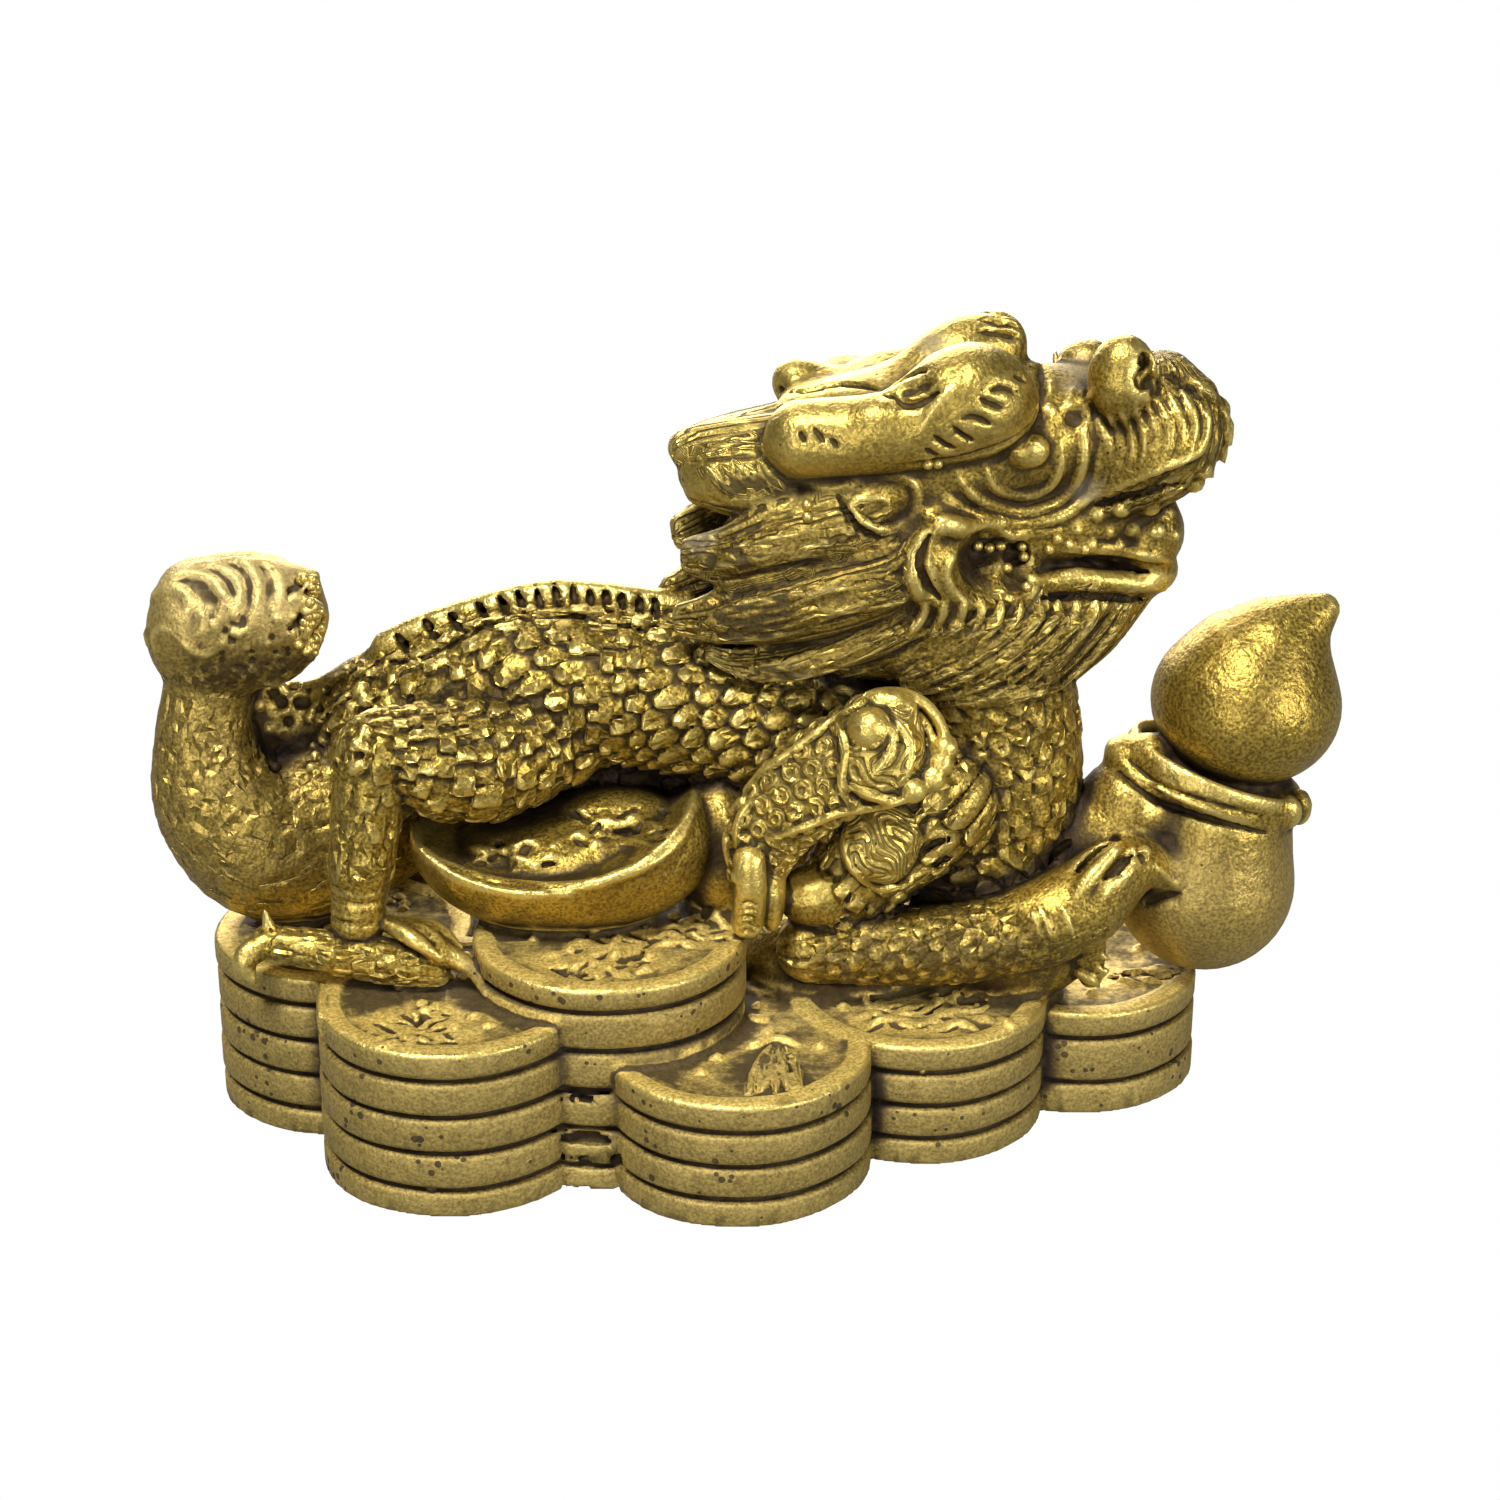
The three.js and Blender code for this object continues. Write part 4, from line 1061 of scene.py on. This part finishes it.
def plain_mesh(name, points, faces):
    """A mesh of those points and same-sided faces."""
    mesh = bpy.data.meshes.new(name)
    corners = faces.shape[1]
    mesh.vertices.add(len(points))
    mesh.vertices.foreach_set("co", points.astype(np.float32).ravel())
    mesh.loops.add(faces.size)
    mesh.loops.foreach_set("vertex_index", faces.astype(np.int32).ravel())
    mesh.polygons.add(len(faces))
    mesh.polygons.foreach_set("loop_start", np.arange(0, faces.size, corners, dtype=np.int32))
    mesh.polygons.foreach_set("loop_total", np.full(len(faces), corners, np.int32))
    mesh.update(calc_edges=True)
    return mesh


points, quads = skin_of(block)
a, b, c, d = (points[quads[:, i]] for i in range(4))
volume = (np.cross(c - a, d - b) * (a + b + c + d)).sum() / 24
if volume < 0:
    quads = quads[:, ::-1]
figure = bpy.data.objects.new("dragon_casting", plain_mesh("dragon_casting", points, quads))
bpy.context.scene.collection.objects.link(figure)

triangle_budget = 185000
depth_that_shows = 6
facing_lens = sight_lines([(picture_middle, picture_middle)])[0]
outward = slope_at(points)
turned_away = (outward @ facing_lens) / np.maximum(np.linalg.norm(outward, axis=1), 1e-6)
shown = (turned_away < 0.25) & (points[:, 1] < depth_that_shows)
thinned_first = figure.vertex_groups.new(name="thinned first")
thinned_first.add(np.flatnonzero(shown).tolist(), 0.5, "REPLACE")
thinned_first.add(np.flatnonzero(~shown).tolist(), 1.0, "REPLACE")
thinner = figure.modifiers.new("fewer faces", "DECIMATE")
thinner.ratio = min(1.0, triangle_budget / (2 * len(quads)))
thinner.use_collapse_triangulate = True
thinner.vertex_group = "thinned first"
thinner.vertex_group_factor = 0.004
finished = bpy.data.meshes.new_from_object(figure.evaluated_get(bpy.context.evaluated_depsgraph_get()))
figure.modifiers.clear()
figure.vertex_groups.clear()
figure.data = finished
places = np.empty(3 * len(finished.vertices), np.float32)
finished.vertices.foreach_get("co", places)
places = places.reshape(-1, 3)


def blurred(field, reach):
    """The mean over a cube of cells around each cell, taken twice."""
    for axis in (0, 1, 2, 0, 1, 2):
        total = np.cumsum(field, axis=axis, dtype=np.float32)
        total = np.moveaxis(total, axis, 0)
        ahead = np.concatenate([total[reach:], np.repeat(total[-1:], reach, axis=0)])
        behind = np.concatenate([np.zeros_like(total[: reach + 1]), total[: -reach - 1]])
        field = np.moveaxis((ahead - behind) / (2 * reach + 1), 0, axis)
    return field


def sampled(field, at):
    """The block's values at places in millimetres, blended between its cells."""
    place = np.clip((at - block_corner) / cell, 0, block_cells - 1.001)
    base = place.astype(int)
    share = place - base
    total = 0
    for i in (0, 1):
        for j in (0, 1):
            for k in (0, 1):
                weight = (share[:, 0] if i else 1 - share[:, 0]) * (share[:, 1] if j else 1 - share[:, 1])
                weight = weight * (share[:, 2] if k else 1 - share[:, 2])
                total = total + weight * field[base[:, 0] + i, base[:, 1] + j, base[:, 2] + k]
    return total


def ramp(values, start, width):
    """Nought at start and one a width further on; a negative width counts the other way."""
    return np.clip((values - start) / width, 0, 1)


solidity = np.clip(0.5 - block / cell, 0, 1).astype(np.float32)
crease = sampled(blurred(solidity, 2), places)
hollow = sampled(blurred(solidity, 8), places)

# Where each point lies on its form's own drawn surface, blended only where its cells are of one form
base = np.clip(np.floor((places - block_corner) / cell).astype(int), 0, block_cells - 2)
share = (places - block_corner) / cell - base
corners = [np.array((i, j, k)) for i in (0, 1) for j in (0, 1) for k in (0, 1)]
around_it = np.stack([drawn[(slice(None), *(base + corner).T)] for corner in corners]).astype(np.float32)
weights = np.stack([np.prod(np.where(corner, share, 1 - share), axis=1) for corner in corners])
spread = around_it.max(0) - around_it.min(0)
of_one_form = (spread[0] == 0) & (spread[1] < 1.5) & (spread[2] < 1.5)
blend = (around_it * weights[:, None]).sum(0)
single = around_it[weights.argmax(0), :, np.arange(len(places))].T
along_it, round_it, kind = np.where(of_one_form, blend, single)[1:]

# Where the colour differs: coin sides painted darker, painted shade, and coin tops lighter, painted light;
# the pale tail and tuft, and the gourd's lower bulb lightened, a painted reflection of the table; painted
# shade under the tuft and along the near forearm; a painted highlight on the ornament, lobes and horn tops;
# and bare spots
at_x, at_y, at_z = places.T
coin_side = np.zeros(len(places))
coin_top = np.zeros(len(places))
# Coin sides get a darker colour, painted shade, and coin tops a lighter one free of the hollows' darkening,
# painted light
for centre, sizes in all_stacks:
    away = np.hypot(at_x - centre[0], at_y - centre[1])
    radius, top = sizes.get("radius", coin_radius), sizes["top"]
    coin_side = np.maximum(coin_side, (np.abs(away - radius) < 0.75) & (at_z < top - 0.35))
    coin_top = np.maximum(coin_top, (away < radius - 0.3) & (np.abs(at_z - top) < 0.5))
pale_and_lit = ramp(at_x, -21.0, -3) * ramp(at_z, 12.6, 2)
pale_and_lit *= 0.12 + 0.5 * ramp(at_z, 27.5, 4.5)
# The gourd's lower bulb is lightened too, a painted reflection of the white table under it.
from_bulb = np.linalg.norm(places - lower_bulb, axis=1)
pale_and_lit = np.maximum(pale_and_lit, 0.24 * ramp(from_bulb, 7.4, -2.2))
# Painted shade: darker under the tuft and along the near forearm, which face away from the light above
under_tuft = ramp(at_z, 28.6, -1.6) * ramp(at_z, 24.6, 1.0) * ramp(at_x, -31, 2) * (at_x < -22)
on_forearm = ramp(at_z, 14.0, -2) * (at_z > 7.8) * (at_y < -2.5) * ramp(at_x, 5, 2) * ramp(at_x, 22.5, -3)
painted_shade = np.maximum(0.85 * under_tuft, 0.75 * on_forearm)
# A painted highlight: lighter gold and less darkening on the ornament's face, the lobes and the tops of the
# horns
on_ornament = (at_y < -6.2) * (at_z > 14.5) * (at_z < 28) * (np.abs(at_x - 7.5) < 6)
on_lobes = ramp(at_x, 9.5, -3) * ramp(at_z, 36.2, 1.0)
on_horns = ramp(at_x, 17.5, -1) * ramp(at_z, 39.6, 1.2)
painted_highlight = np.maximum(on_ornament, np.maximum(0.8 * on_lobes, 0.45 * on_horns))
bare = np.zeros(len(places))
bare_spots = (
    (1078, 368, 1.5), (1092, 352, 1.1), (1090, 490, 0.9), (935, 343, 0.9), (702, 535, 1.2), (1072, 384, 0.8),
)
for x, y, size in bare_spots:
    for found, _ in found_at((x, y)):
        away = np.linalg.norm(places - found[0], axis=1)
        bare = np.maximum(bare, np.clip(1.6 - 1.3 * away / size, 0, 1))
drawings = {
    "crease": crease,
    "hollow": hollow,
    "coin_side": coin_side,
    "coin_top": coin_top,
    "pale_and_lit": pale_and_lit,
    "bare": 0.55 * bare,
    "painted_shade": painted_shade,
    "painted_highlight": painted_highlight,
    "along": along_it,
    "round": round_it,
    "scaled": kind == scale_kind,
    "haired": kind == hair_kind,
    "beaded": kind == bead_kind,
    "curled": kind == curl_kind,
}
for name, values in drawings.items():
    drawing = finished.attributes.new(name, "FLOAT", "POINT")
    drawing.data.foreach_set("value", values.astype(np.float32))
finished.vertices.foreach_set("co", (places * 0.001).ravel())
finished.polygons.foreach_set("use_smooth", np.ones(len(finished.polygons), bool))
finished.update()

# THE PAINT
# Bronze powder paint was sprayed on, then a dark brown wash was wiped off the high places and left in the
# hollows, and that darkening in creases and hollows stands for painted shade too, while the high places carry
# a painted highlight. The powder lies in grains, the coin sides are darker as painted shade and the coin tops
# lighter as painted light, and small dark chips show.


def material(name):
    """An empty node material, and its nodes and links."""
    made = bpy.data.materials.new(name)
    made.use_nodes = True
    made.node_tree.nodes.clear()
    return made, made.node_tree.nodes, made.node_tree.links


paint, nodes, links = material("gold_paint")
shader = nodes.new("ShaderNodeBsdfPrincipled")
links.new(shader.outputs[0], nodes.new("ShaderNodeOutputMaterial").inputs[0])
position = nodes.new("ShaderNodeTexCoord").outputs["Object"]


def noise(scale, detail=2.0):
    """Cloudy noise over the piece, with that many clouds to a metre."""
    node = nodes.new("ShaderNodeTexNoise")
    links.new(position, node.inputs["Vector"])
    node.inputs["Scale"].default_value = scale
    node.inputs["Detail"].default_value = detail
    return node.outputs["Fac"]


def attribute(name):
    node = nodes.new("ShaderNodeAttribute")
    node.attribute_name = name
    return node.outputs["Fac"]


def put(value, socket):
    """Links a socket, or sets a plain number or colour."""
    if isinstance(value, (int, float, tuple)):
        socket.default_value = value
    else:
        links.new(value, socket)


def calculate(operation, first, second=0.0):
    node = nodes.new("ShaderNodeMath")
    node.operation = operation
    put(first, node.inputs[0])
    put(second, node.inputs[1])
    return node.outputs[0]


def between(value, low, high):
    """Nought below low, one above high and a smooth step between."""
    node = nodes.new("ShaderNodeMapRange")
    node.interpolation_type = "SMOOTHSTEP"
    put(value, node.inputs["Value"])
    node.inputs["From Min"].default_value = low
    node.inputs["From Max"].default_value = high
    return node.outputs["Result"]


def mixed(share, first, second):
    node = nodes.new("ShaderNodeMix")
    node.data_type = "RGBA"
    put(share, node.inputs["Factor"])
    put(first, node.inputs[6])
    put(second, node.inputs[7])
    return node.outputs[2]


def combined(operation, *values):
    """Several values joined one after another by the same operation."""
    result = values[0]
    for value in values[1:]:
        result = calculate(operation, result, value)
    return result


def product(*values):
    return combined("MULTIPLY", *values)


def total(*values):
    return combined("ADD", *values)


def largest(*values):
    return combined("MAXIMUM", *values)


def less(first, second):
    return calculate("SUBTRACT", first, second)


def shifted(turn, row):
    """How far round a place is from the middle of its own tongue or bead, where every other row is offset."""
    shift = total(turn, product(calculate("FLOORED_MODULO", row, 2.0), 0.5))
    return less(shift, calculate("ROUND", shift))


def scale_height(along, turn):
    """The overlapping scales again, as sharp as the tool that pressed them: lowest in the seams."""
    best = 0.0
    for back in (0, 1):
        row = less(calculate("FLOOR", along), back)
        ahead = calculate("DIVIDE", less(along, row), scale_overlap)
        length = calculate("POWER", product(ahead, scale_bluntness), 4.0)
        aside = product(shifted(turn, row), scale_narrowness)
        width = calculate("POWER", calculate("ABSOLUTE", aside), 2.0)
        inside = between(total(length, width), 1.06, 0.94)
        crown = less(total(product(ahead, 0.7), 0.3), product(width, 0.13))
        best = largest(best, product(inside, crown))
    return best


# The small patterns, each drawn in the surface's own two coordinates
grain = noise(5200, 2.0)
mottle = noise(1500, 3.0)
cloud = noise(240, 2.0)
along, turn = attribute("along"), attribute("round")
scaled, haired = attribute("scaled"), attribute("haired")
beaded, curled = attribute("beaded"), attribute("curled")
scale_form = scale_height(along, turn)
flow = nodes.new("ShaderNodeCombineXYZ")
links.new(product(along, 0.12), flow.inputs[0])
links.new(product(turn, 0.5), flow.inputs[1])
drift = nodes.new("ShaderNodeTexNoise")
links.new(flow.outputs[0], drift.inputs["Vector"])
drift.inputs["Scale"].default_value = 1.0
drift.inputs["Detail"].default_value = 1.0
hair_turn = total(product(turn, 6.2), product(drift.outputs["Fac"], 9.0))
hair_form = between(calculate("ABSOLUTE", calculate("SINE", hair_turn)), 0.1, 0.8)
bead_row = calculate("ROUND", along)
bead_along, bead_aside = less(along, bead_row), shifted(turn, bead_row)
bead_away = calculate("SQRT", total(product(bead_along, bead_along), product(bead_aside, bead_aside)))
ring = product(between(bead_away, 0.12, 0.24), between(bead_away, 0.52, 0.38))
curl_turn = product(noise(520, 0.0), 34.0)
curl = between(calculate("ABSOLUTE", calculate("SINE", curl_turn)), 0.25, 0.8)

# Where it goes dark: brown wash and painted shade in creases, hollows and the seams of the small patterns,
# painted shade over all the hair, under the tuft and along the near forearm, and chips
coin_top, sides, pale_and_lit = attribute("coin_top"), attribute("coin_side"), attribute("pale_and_lit")
painted_highlight, bare = attribute("painted_highlight"), attribute("bare")
uneven = product(less(mottle, 0.5), 0.10)
crease_here = total(attribute("crease"), uneven)
hollow_here = total(attribute("hollow"), uneven)
wash_and_shade = largest(
    # brown wash and painted shade in the creases and hollows, less of it on the lit coin tops
    product(between(crease_here, 0.505, 0.585), 0.92),
    product(between(hollow_here, 0.49, 0.65), less(1.0, product(coin_top, 0.85))),
    # all the hair darker, painted shade, less where the painted highlight lies
    product(haired, less(0.36, product(painted_highlight, 0.26))),
    # dark crescents just beyond the lips of the scales, painted shadow
    product(scaled, between(scale_form, 0.5, 0.3), 0.8),
    # dark lines between the hairs, brown wash and painted shade
    product(haired, between(hair_form, 0.75, 0.15), 0.85),
    product(beaded, less(1.0, ring), 0.62),
    product(curled, less(1.0, curl), 0.62),
    # painted shade under the tuft and along the near forearm, in blotches
    product(attribute("painted_shade"), between(mottle, 0.36, 0.56)),
)
speckle = nodes.new("ShaderNodeTexVoronoi")
links.new(position, speckle.inputs["Vector"])
speckle.inputs["Scale"].default_value = 1250
chip_size = product(between(cloud, 0.42, 0.68), total(0.12, product(sides, 0.18)))
chip = calculate("LESS_THAN", speckle.outputs["Distance"], chip_size)
dark = largest(wash_and_shade, product(chip, 0.85))

# The colours, from the powder in its grains up to the bare resin where the paint is gone
powder_low, powder_high = (0.20, 0.128, 0.020, 1), (0.50, 0.355, 0.066, 1)
powder_dull, pale_gold = (0.19, 0.125, 0.03, 1), (0.56, 0.43, 0.18, 1)
worn_and_highlight_gold, highlight_gold = (0.86, 0.68, 0.21, 1), (0.82, 0.62, 0.16, 1)
shaded_side_low, shaded_side_high = (0.15, 0.10, 0.024, 1), (0.32, 0.225, 0.060, 1)
lit_top_low, lit_top_high = (0.46, 0.32, 0.06, 1), (0.86, 0.64, 0.19, 1)
wash_and_shade_low, wash_and_shade_high = (0.014, 0.007, 0.003, 1), (0.050, 0.028, 0.008, 1)
bare_resin = (0.27, 0.225, 0.15, 1)
# Convex edges get a brighter gold: worn paint and a painted highlight.
edge = between(less(1.0, crease_here), 0.53, 0.66)
powder = mixed(between(grain, 0.32, 0.66), powder_low, powder_high)
powder = mixed(product(between(cloud, 0.4, 0.65), 0.3), powder, powder_dull)
powder = mixed(product(edge, 0.65), powder, worn_and_highlight_gold)
# painted highlight on the ornament, the lobes and the horn tops
powder = mixed(product(painted_highlight, 0.42), powder, highlight_gold)
# pale tail and tuft, and the gourd's lower bulb lightened as a painted reflection
powder = mixed(pale_and_lit, powder, pale_gold)
# coin sides painted darker, painted shade, and coin tops lighter, painted light
powder = mixed(product(sides, 0.75), powder, mixed(between(grain, 0.3, 0.7), shaded_side_low, shaded_side_high))
powder = mixed(coin_top, powder, mixed(between(grain, 0.3, 0.7), lit_top_low, lit_top_high))
# the dark colour of the brown wash and of the painted shade
brown = mixed(between(mottle, 0.3, 0.7), wash_and_shade_low, wash_and_shade_high)
links.new(mixed(bare, mixed(dark, powder, brown), bare_resin), shader.inputs["Base Color"])

matt = largest(product(sides, 0.4), product(pale_and_lit, 0.5), product(bare, 0.85), product(coin_top, 0.35))
metal = product(less(1.0, product(dark, 0.25)), less(0.86, matt))
links.new(metal, shader.inputs["Metallic"])
rough = total(0.32, product(grain, 0.16), product(dark, 0.25), product(matt, 0.4))
links.new(rough, shader.inputs["Roughness"])

# The small patterns as bump: millimetres, over the relief that the mesh has
grit = nodes.new("ShaderNodeBump")
grit.inputs["Distance"].default_value = 0.001
grit.inputs["Strength"].default_value = 1.0
fine_relief = total(
    product(scaled, scale_form, 0.3),
    product(haired, hair_form, 0.14),
    product(beaded, ring, 0.2),
    product(curled, curl, 0.2),
    product(grain, 0.035),
    product(mottle, 0.10),
)
links.new(fine_relief, grit.inputs["Height"])
links.new(grit.outputs[0], shader.inputs["Normal"])

# THE BUBBLES
# Air that was trapped in the rubber mould left small balls of resin in the deep places and at the mouth.
# They are part of the casting and carry none of its drawn values, so they take the bright edge gold, worn
# paint and painted highlight, without the wash and painted shade of the hollows round them.
bubble_marks = [(980, 545), (992, 547), (1004, 545), (1026, 545), (1028, 557), (1009, 568), (1060, 538)]
bubble_marks += [(1088, 549), (1030, 588), (810, 505), (810, 518), (930, 463), (940, 462), (1072, 545)]
bubble_marks += [(1052, 548)]
tuft_bubbles = 70
across, down = hand.normal(322, 9, tuft_bubbles), hand.uniform(566, 662, tuft_bubbles)
bubble_places = []
for marks, rise in ((bubble_marks, 0.12), (zip(across, down), 0.1)):
    for mark in marks:
        bubble_places += [(found[0] + rise * facing[0]) * 0.001 for found, facing in found_at(mark)]
bubble_points = bpy.data.meshes.new("bubble places")
bubble_points.from_pydata(bubble_places, [], [])
bubble_guide = bpy.data.objects.new("bubble places", bubble_points)
bpy.context.scene.collection.objects.link(bubble_guide)

tree = bpy.data.node_groups.new("casting bubbles", "GeometryNodeTree")
sockets = {}
for label, kind, value in (
    ("Casting", "NodeSocketGeometry", None),
    ("Places", "NodeSocketObject", None),
    ("Largest radius", "NodeSocketFloat", 0.00036),
    ("Smallest share", "NodeSocketFloat", 0.4),
    ("Stray bubbles", "NodeSocketFloat", 90000.0),
    ("Seed", "NodeSocketInt", 7),
    ("Finish", "NodeSocketMaterial", None),
):
    sockets[label] = tree.interface.new_socket(label, in_out="INPUT", socket_type=kind)
    if value is not None:
        sockets[label].default_value = value
tree.interface.new_socket("Casting", in_out="OUTPUT", socket_type="NodeSocketGeometry")
given, taken = tree.nodes.new("NodeGroupInput"), tree.nodes.new("NodeGroupOutput")
guide = tree.nodes.new("GeometryNodeObjectInfo")
guide_points = tree.nodes.new("GeometryNodeMeshToPoints")
strewn = tree.nodes.new("GeometryNodeDistributePointsOnFaces")
deep = tree.nodes.new("GeometryNodeInputNamedAttribute")
is_deep = tree.nodes.new("FunctionNodeCompare")
all_points = tree.nodes.new("GeometryNodeJoinGeometry")
ball = tree.nodes.new("GeometryNodeMeshIcoSphere")
size = tree.nodes.new("FunctionNodeRandomValue")
placed = tree.nodes.new("GeometryNodeInstanceOnPoints")
together = tree.nodes.new("GeometryNodeJoinGeometry")
solid = tree.nodes.new("GeometryNodeRealizeInstances")
rounded = tree.nodes.new("GeometryNodeSetShadeSmooth")
painted = tree.nodes.new("GeometryNodeSetMaterial")
deep.data_type = "FLOAT"
deep.inputs["Name"].default_value = "crease"
is_deep.inputs["B"].default_value = 0.66
ball.inputs["Subdivisions"].default_value = 2
size.inputs["Max"].default_value = 1.0
wire = tree.links.new
wire(given.outputs["Places"], guide.inputs["Object"])
wire(guide.outputs["Geometry"], guide_points.inputs["Mesh"])
wire(given.outputs["Casting"], strewn.inputs["Mesh"])
wire(given.outputs["Stray bubbles"], strewn.inputs["Density"])
wire(deep.outputs["Attribute"], is_deep.inputs["A"])
wire(is_deep.outputs["Result"], strewn.inputs["Selection"])
wire(given.outputs["Seed"], strewn.inputs["Seed"])
wire(guide_points.outputs["Points"], all_points.inputs["Geometry"])
wire(strewn.outputs["Points"], all_points.inputs["Geometry"])
wire(given.outputs["Largest radius"], ball.inputs["Radius"])
wire(given.outputs["Smallest share"], size.inputs["Min"])
wire(given.outputs["Seed"], size.inputs["Seed"])
wire(all_points.outputs["Geometry"], placed.inputs["Points"])
wire(ball.outputs["Mesh"], placed.inputs["Instance"])
wire(size.outputs["Value"], placed.inputs["Scale"])
wire(given.outputs["Casting"], together.inputs["Geometry"])
wire(placed.outputs["Instances"], together.inputs["Geometry"])
wire(together.outputs["Geometry"], rounded.inputs["Geometry"])
wire(rounded.outputs["Geometry"], solid.inputs["Geometry"])
wire(solid.outputs["Geometry"], painted.inputs["Geometry"])
wire(given.outputs["Finish"], painted.inputs["Material"])
wire(painted.outputs["Geometry"], taken.inputs["Casting"])

bubbles = figure.modifiers.new("casting bubbles", "NODES")
bubbles.node_group = tree
bubbles[sockets["Places"].identifier] = bubble_guide
bubbles[sockets["Finish"].identifier] = paint
finished.materials.clear()
finished.materials.append(paint)
with_bubbles = bpy.data.meshes.new_from_object(figure.evaluated_get(bpy.context.evaluated_depsgraph_get()))
figure.modifiers.clear()
figure.data = with_bubbles
bpy.data.objects.remove(bubble_guide)
with_bubbles.materials.clear()
with_bubbles.materials.append(paint)
with_bubbles.polygons.foreach_set("material_index", np.zeros(len(with_bubbles.polygons), np.int32))

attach(figure, "root")
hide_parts("dragon_figure")

# THE SETTING
# A white table and background. The main light is broad and soft and comes from above and the left, with
# weaker ones from the right and the front and a warm one from behind.
floor_corners = np.array([[-4, -4, 0], [4, -4, 0], [4, 4, 0], [-4, 4, 0]], float)
floor = bpy.data.objects.new("floor", plain_mesh("floor", floor_corners, np.array([[0, 1, 2, 3]])))
bpy.context.scene.collection.objects.link(floor)
white, nodes, links = material("white_floor")
surface = nodes.new("ShaderNodeBsdfDiffuse")
put((0.20, 0.20, 0.20, 1), surface.inputs["Color"])
shining = nodes.new("ShaderNodeEmission")
put((1.0, 1.0, 1.0, 1), shining.inputs["Color"])
either = nodes.new("ShaderNodeMixShader")
links.new(nodes.new("ShaderNodeLightPath").outputs["Is Camera Ray"], either.inputs[0])
links.new(surface.outputs[0], either.inputs[1])
links.new(shining.outputs[0], either.inputs[2])
links.new(either.outputs[0], nodes.new("ShaderNodeOutputMaterial").inputs[0])
floor.data.materials.append(white)

camera_data = bpy.data.cameras.new("camera")
camera_data.lens = 36 * picture_depth / (2 * picture_middle)
camera_data.sensor_width = 36
camera_data.clip_start = 0.005
camera = bpy.data.objects.new("camera", camera_data)
camera.location = lens_place * 0.001
camera.rotation_euler = (math.radians(90) - lens_dip, 0, 0)
bpy.context.scene.collection.objects.link(camera)
bpy.context.scene.camera = camera

world = bpy.data.worlds.new("studio")
world.use_nodes = True
nodes, links = world.node_tree.nodes, world.node_tree.links
seen = nodes.new("ShaderNodeLightPath").outputs["Is Camera Ray"]
background = nodes["Background"]
links.new(mixed(seen, (0.022, 0.022, 0.023, 1), (1, 1, 1, 1)), background.inputs["Color"])
bpy.context.scene.world = world


def studio_light(name, kind, place, aim, power, **sizes):
    """A studio light that shines from a place towards a point."""
    data = bpy.data.lights.new(name, kind)
    data.energy = power
    for size, value in sizes.items():
        setattr(data, size, value)
    light = bpy.data.objects.new(name, data)
    light.location = place
    light.rotation_euler = (Vector(aim) - Vector(place)).to_track_quat("-Z", "Y").to_euler()
    bpy.context.scene.collection.objects.link(light)


studio_light("key", "SUN", (-0.25, -0.4, 0.9), (0, 0, 0), 3.7, angle=math.radians(16))
studio_light("right", "AREA", (0.25, -0.22, 0.12), (0, 0, 0.02), 0.7, shape="SQUARE", size=0.12)
studio_light("front", "AREA", (-0.1, -0.3, 0.06), (0, 0, 0.02), 0.3, shape="SQUARE", size=0.1)
warm = (1, 0.95, 0.84)
studio_light("back", "AREA", (-0.05, 0.42, 0.24), (0, 0, 0.01), 3.0, shape="SQUARE", size=0.36, color=warm)
bpy.context.scene.view_settings.view_transform = "Standard"
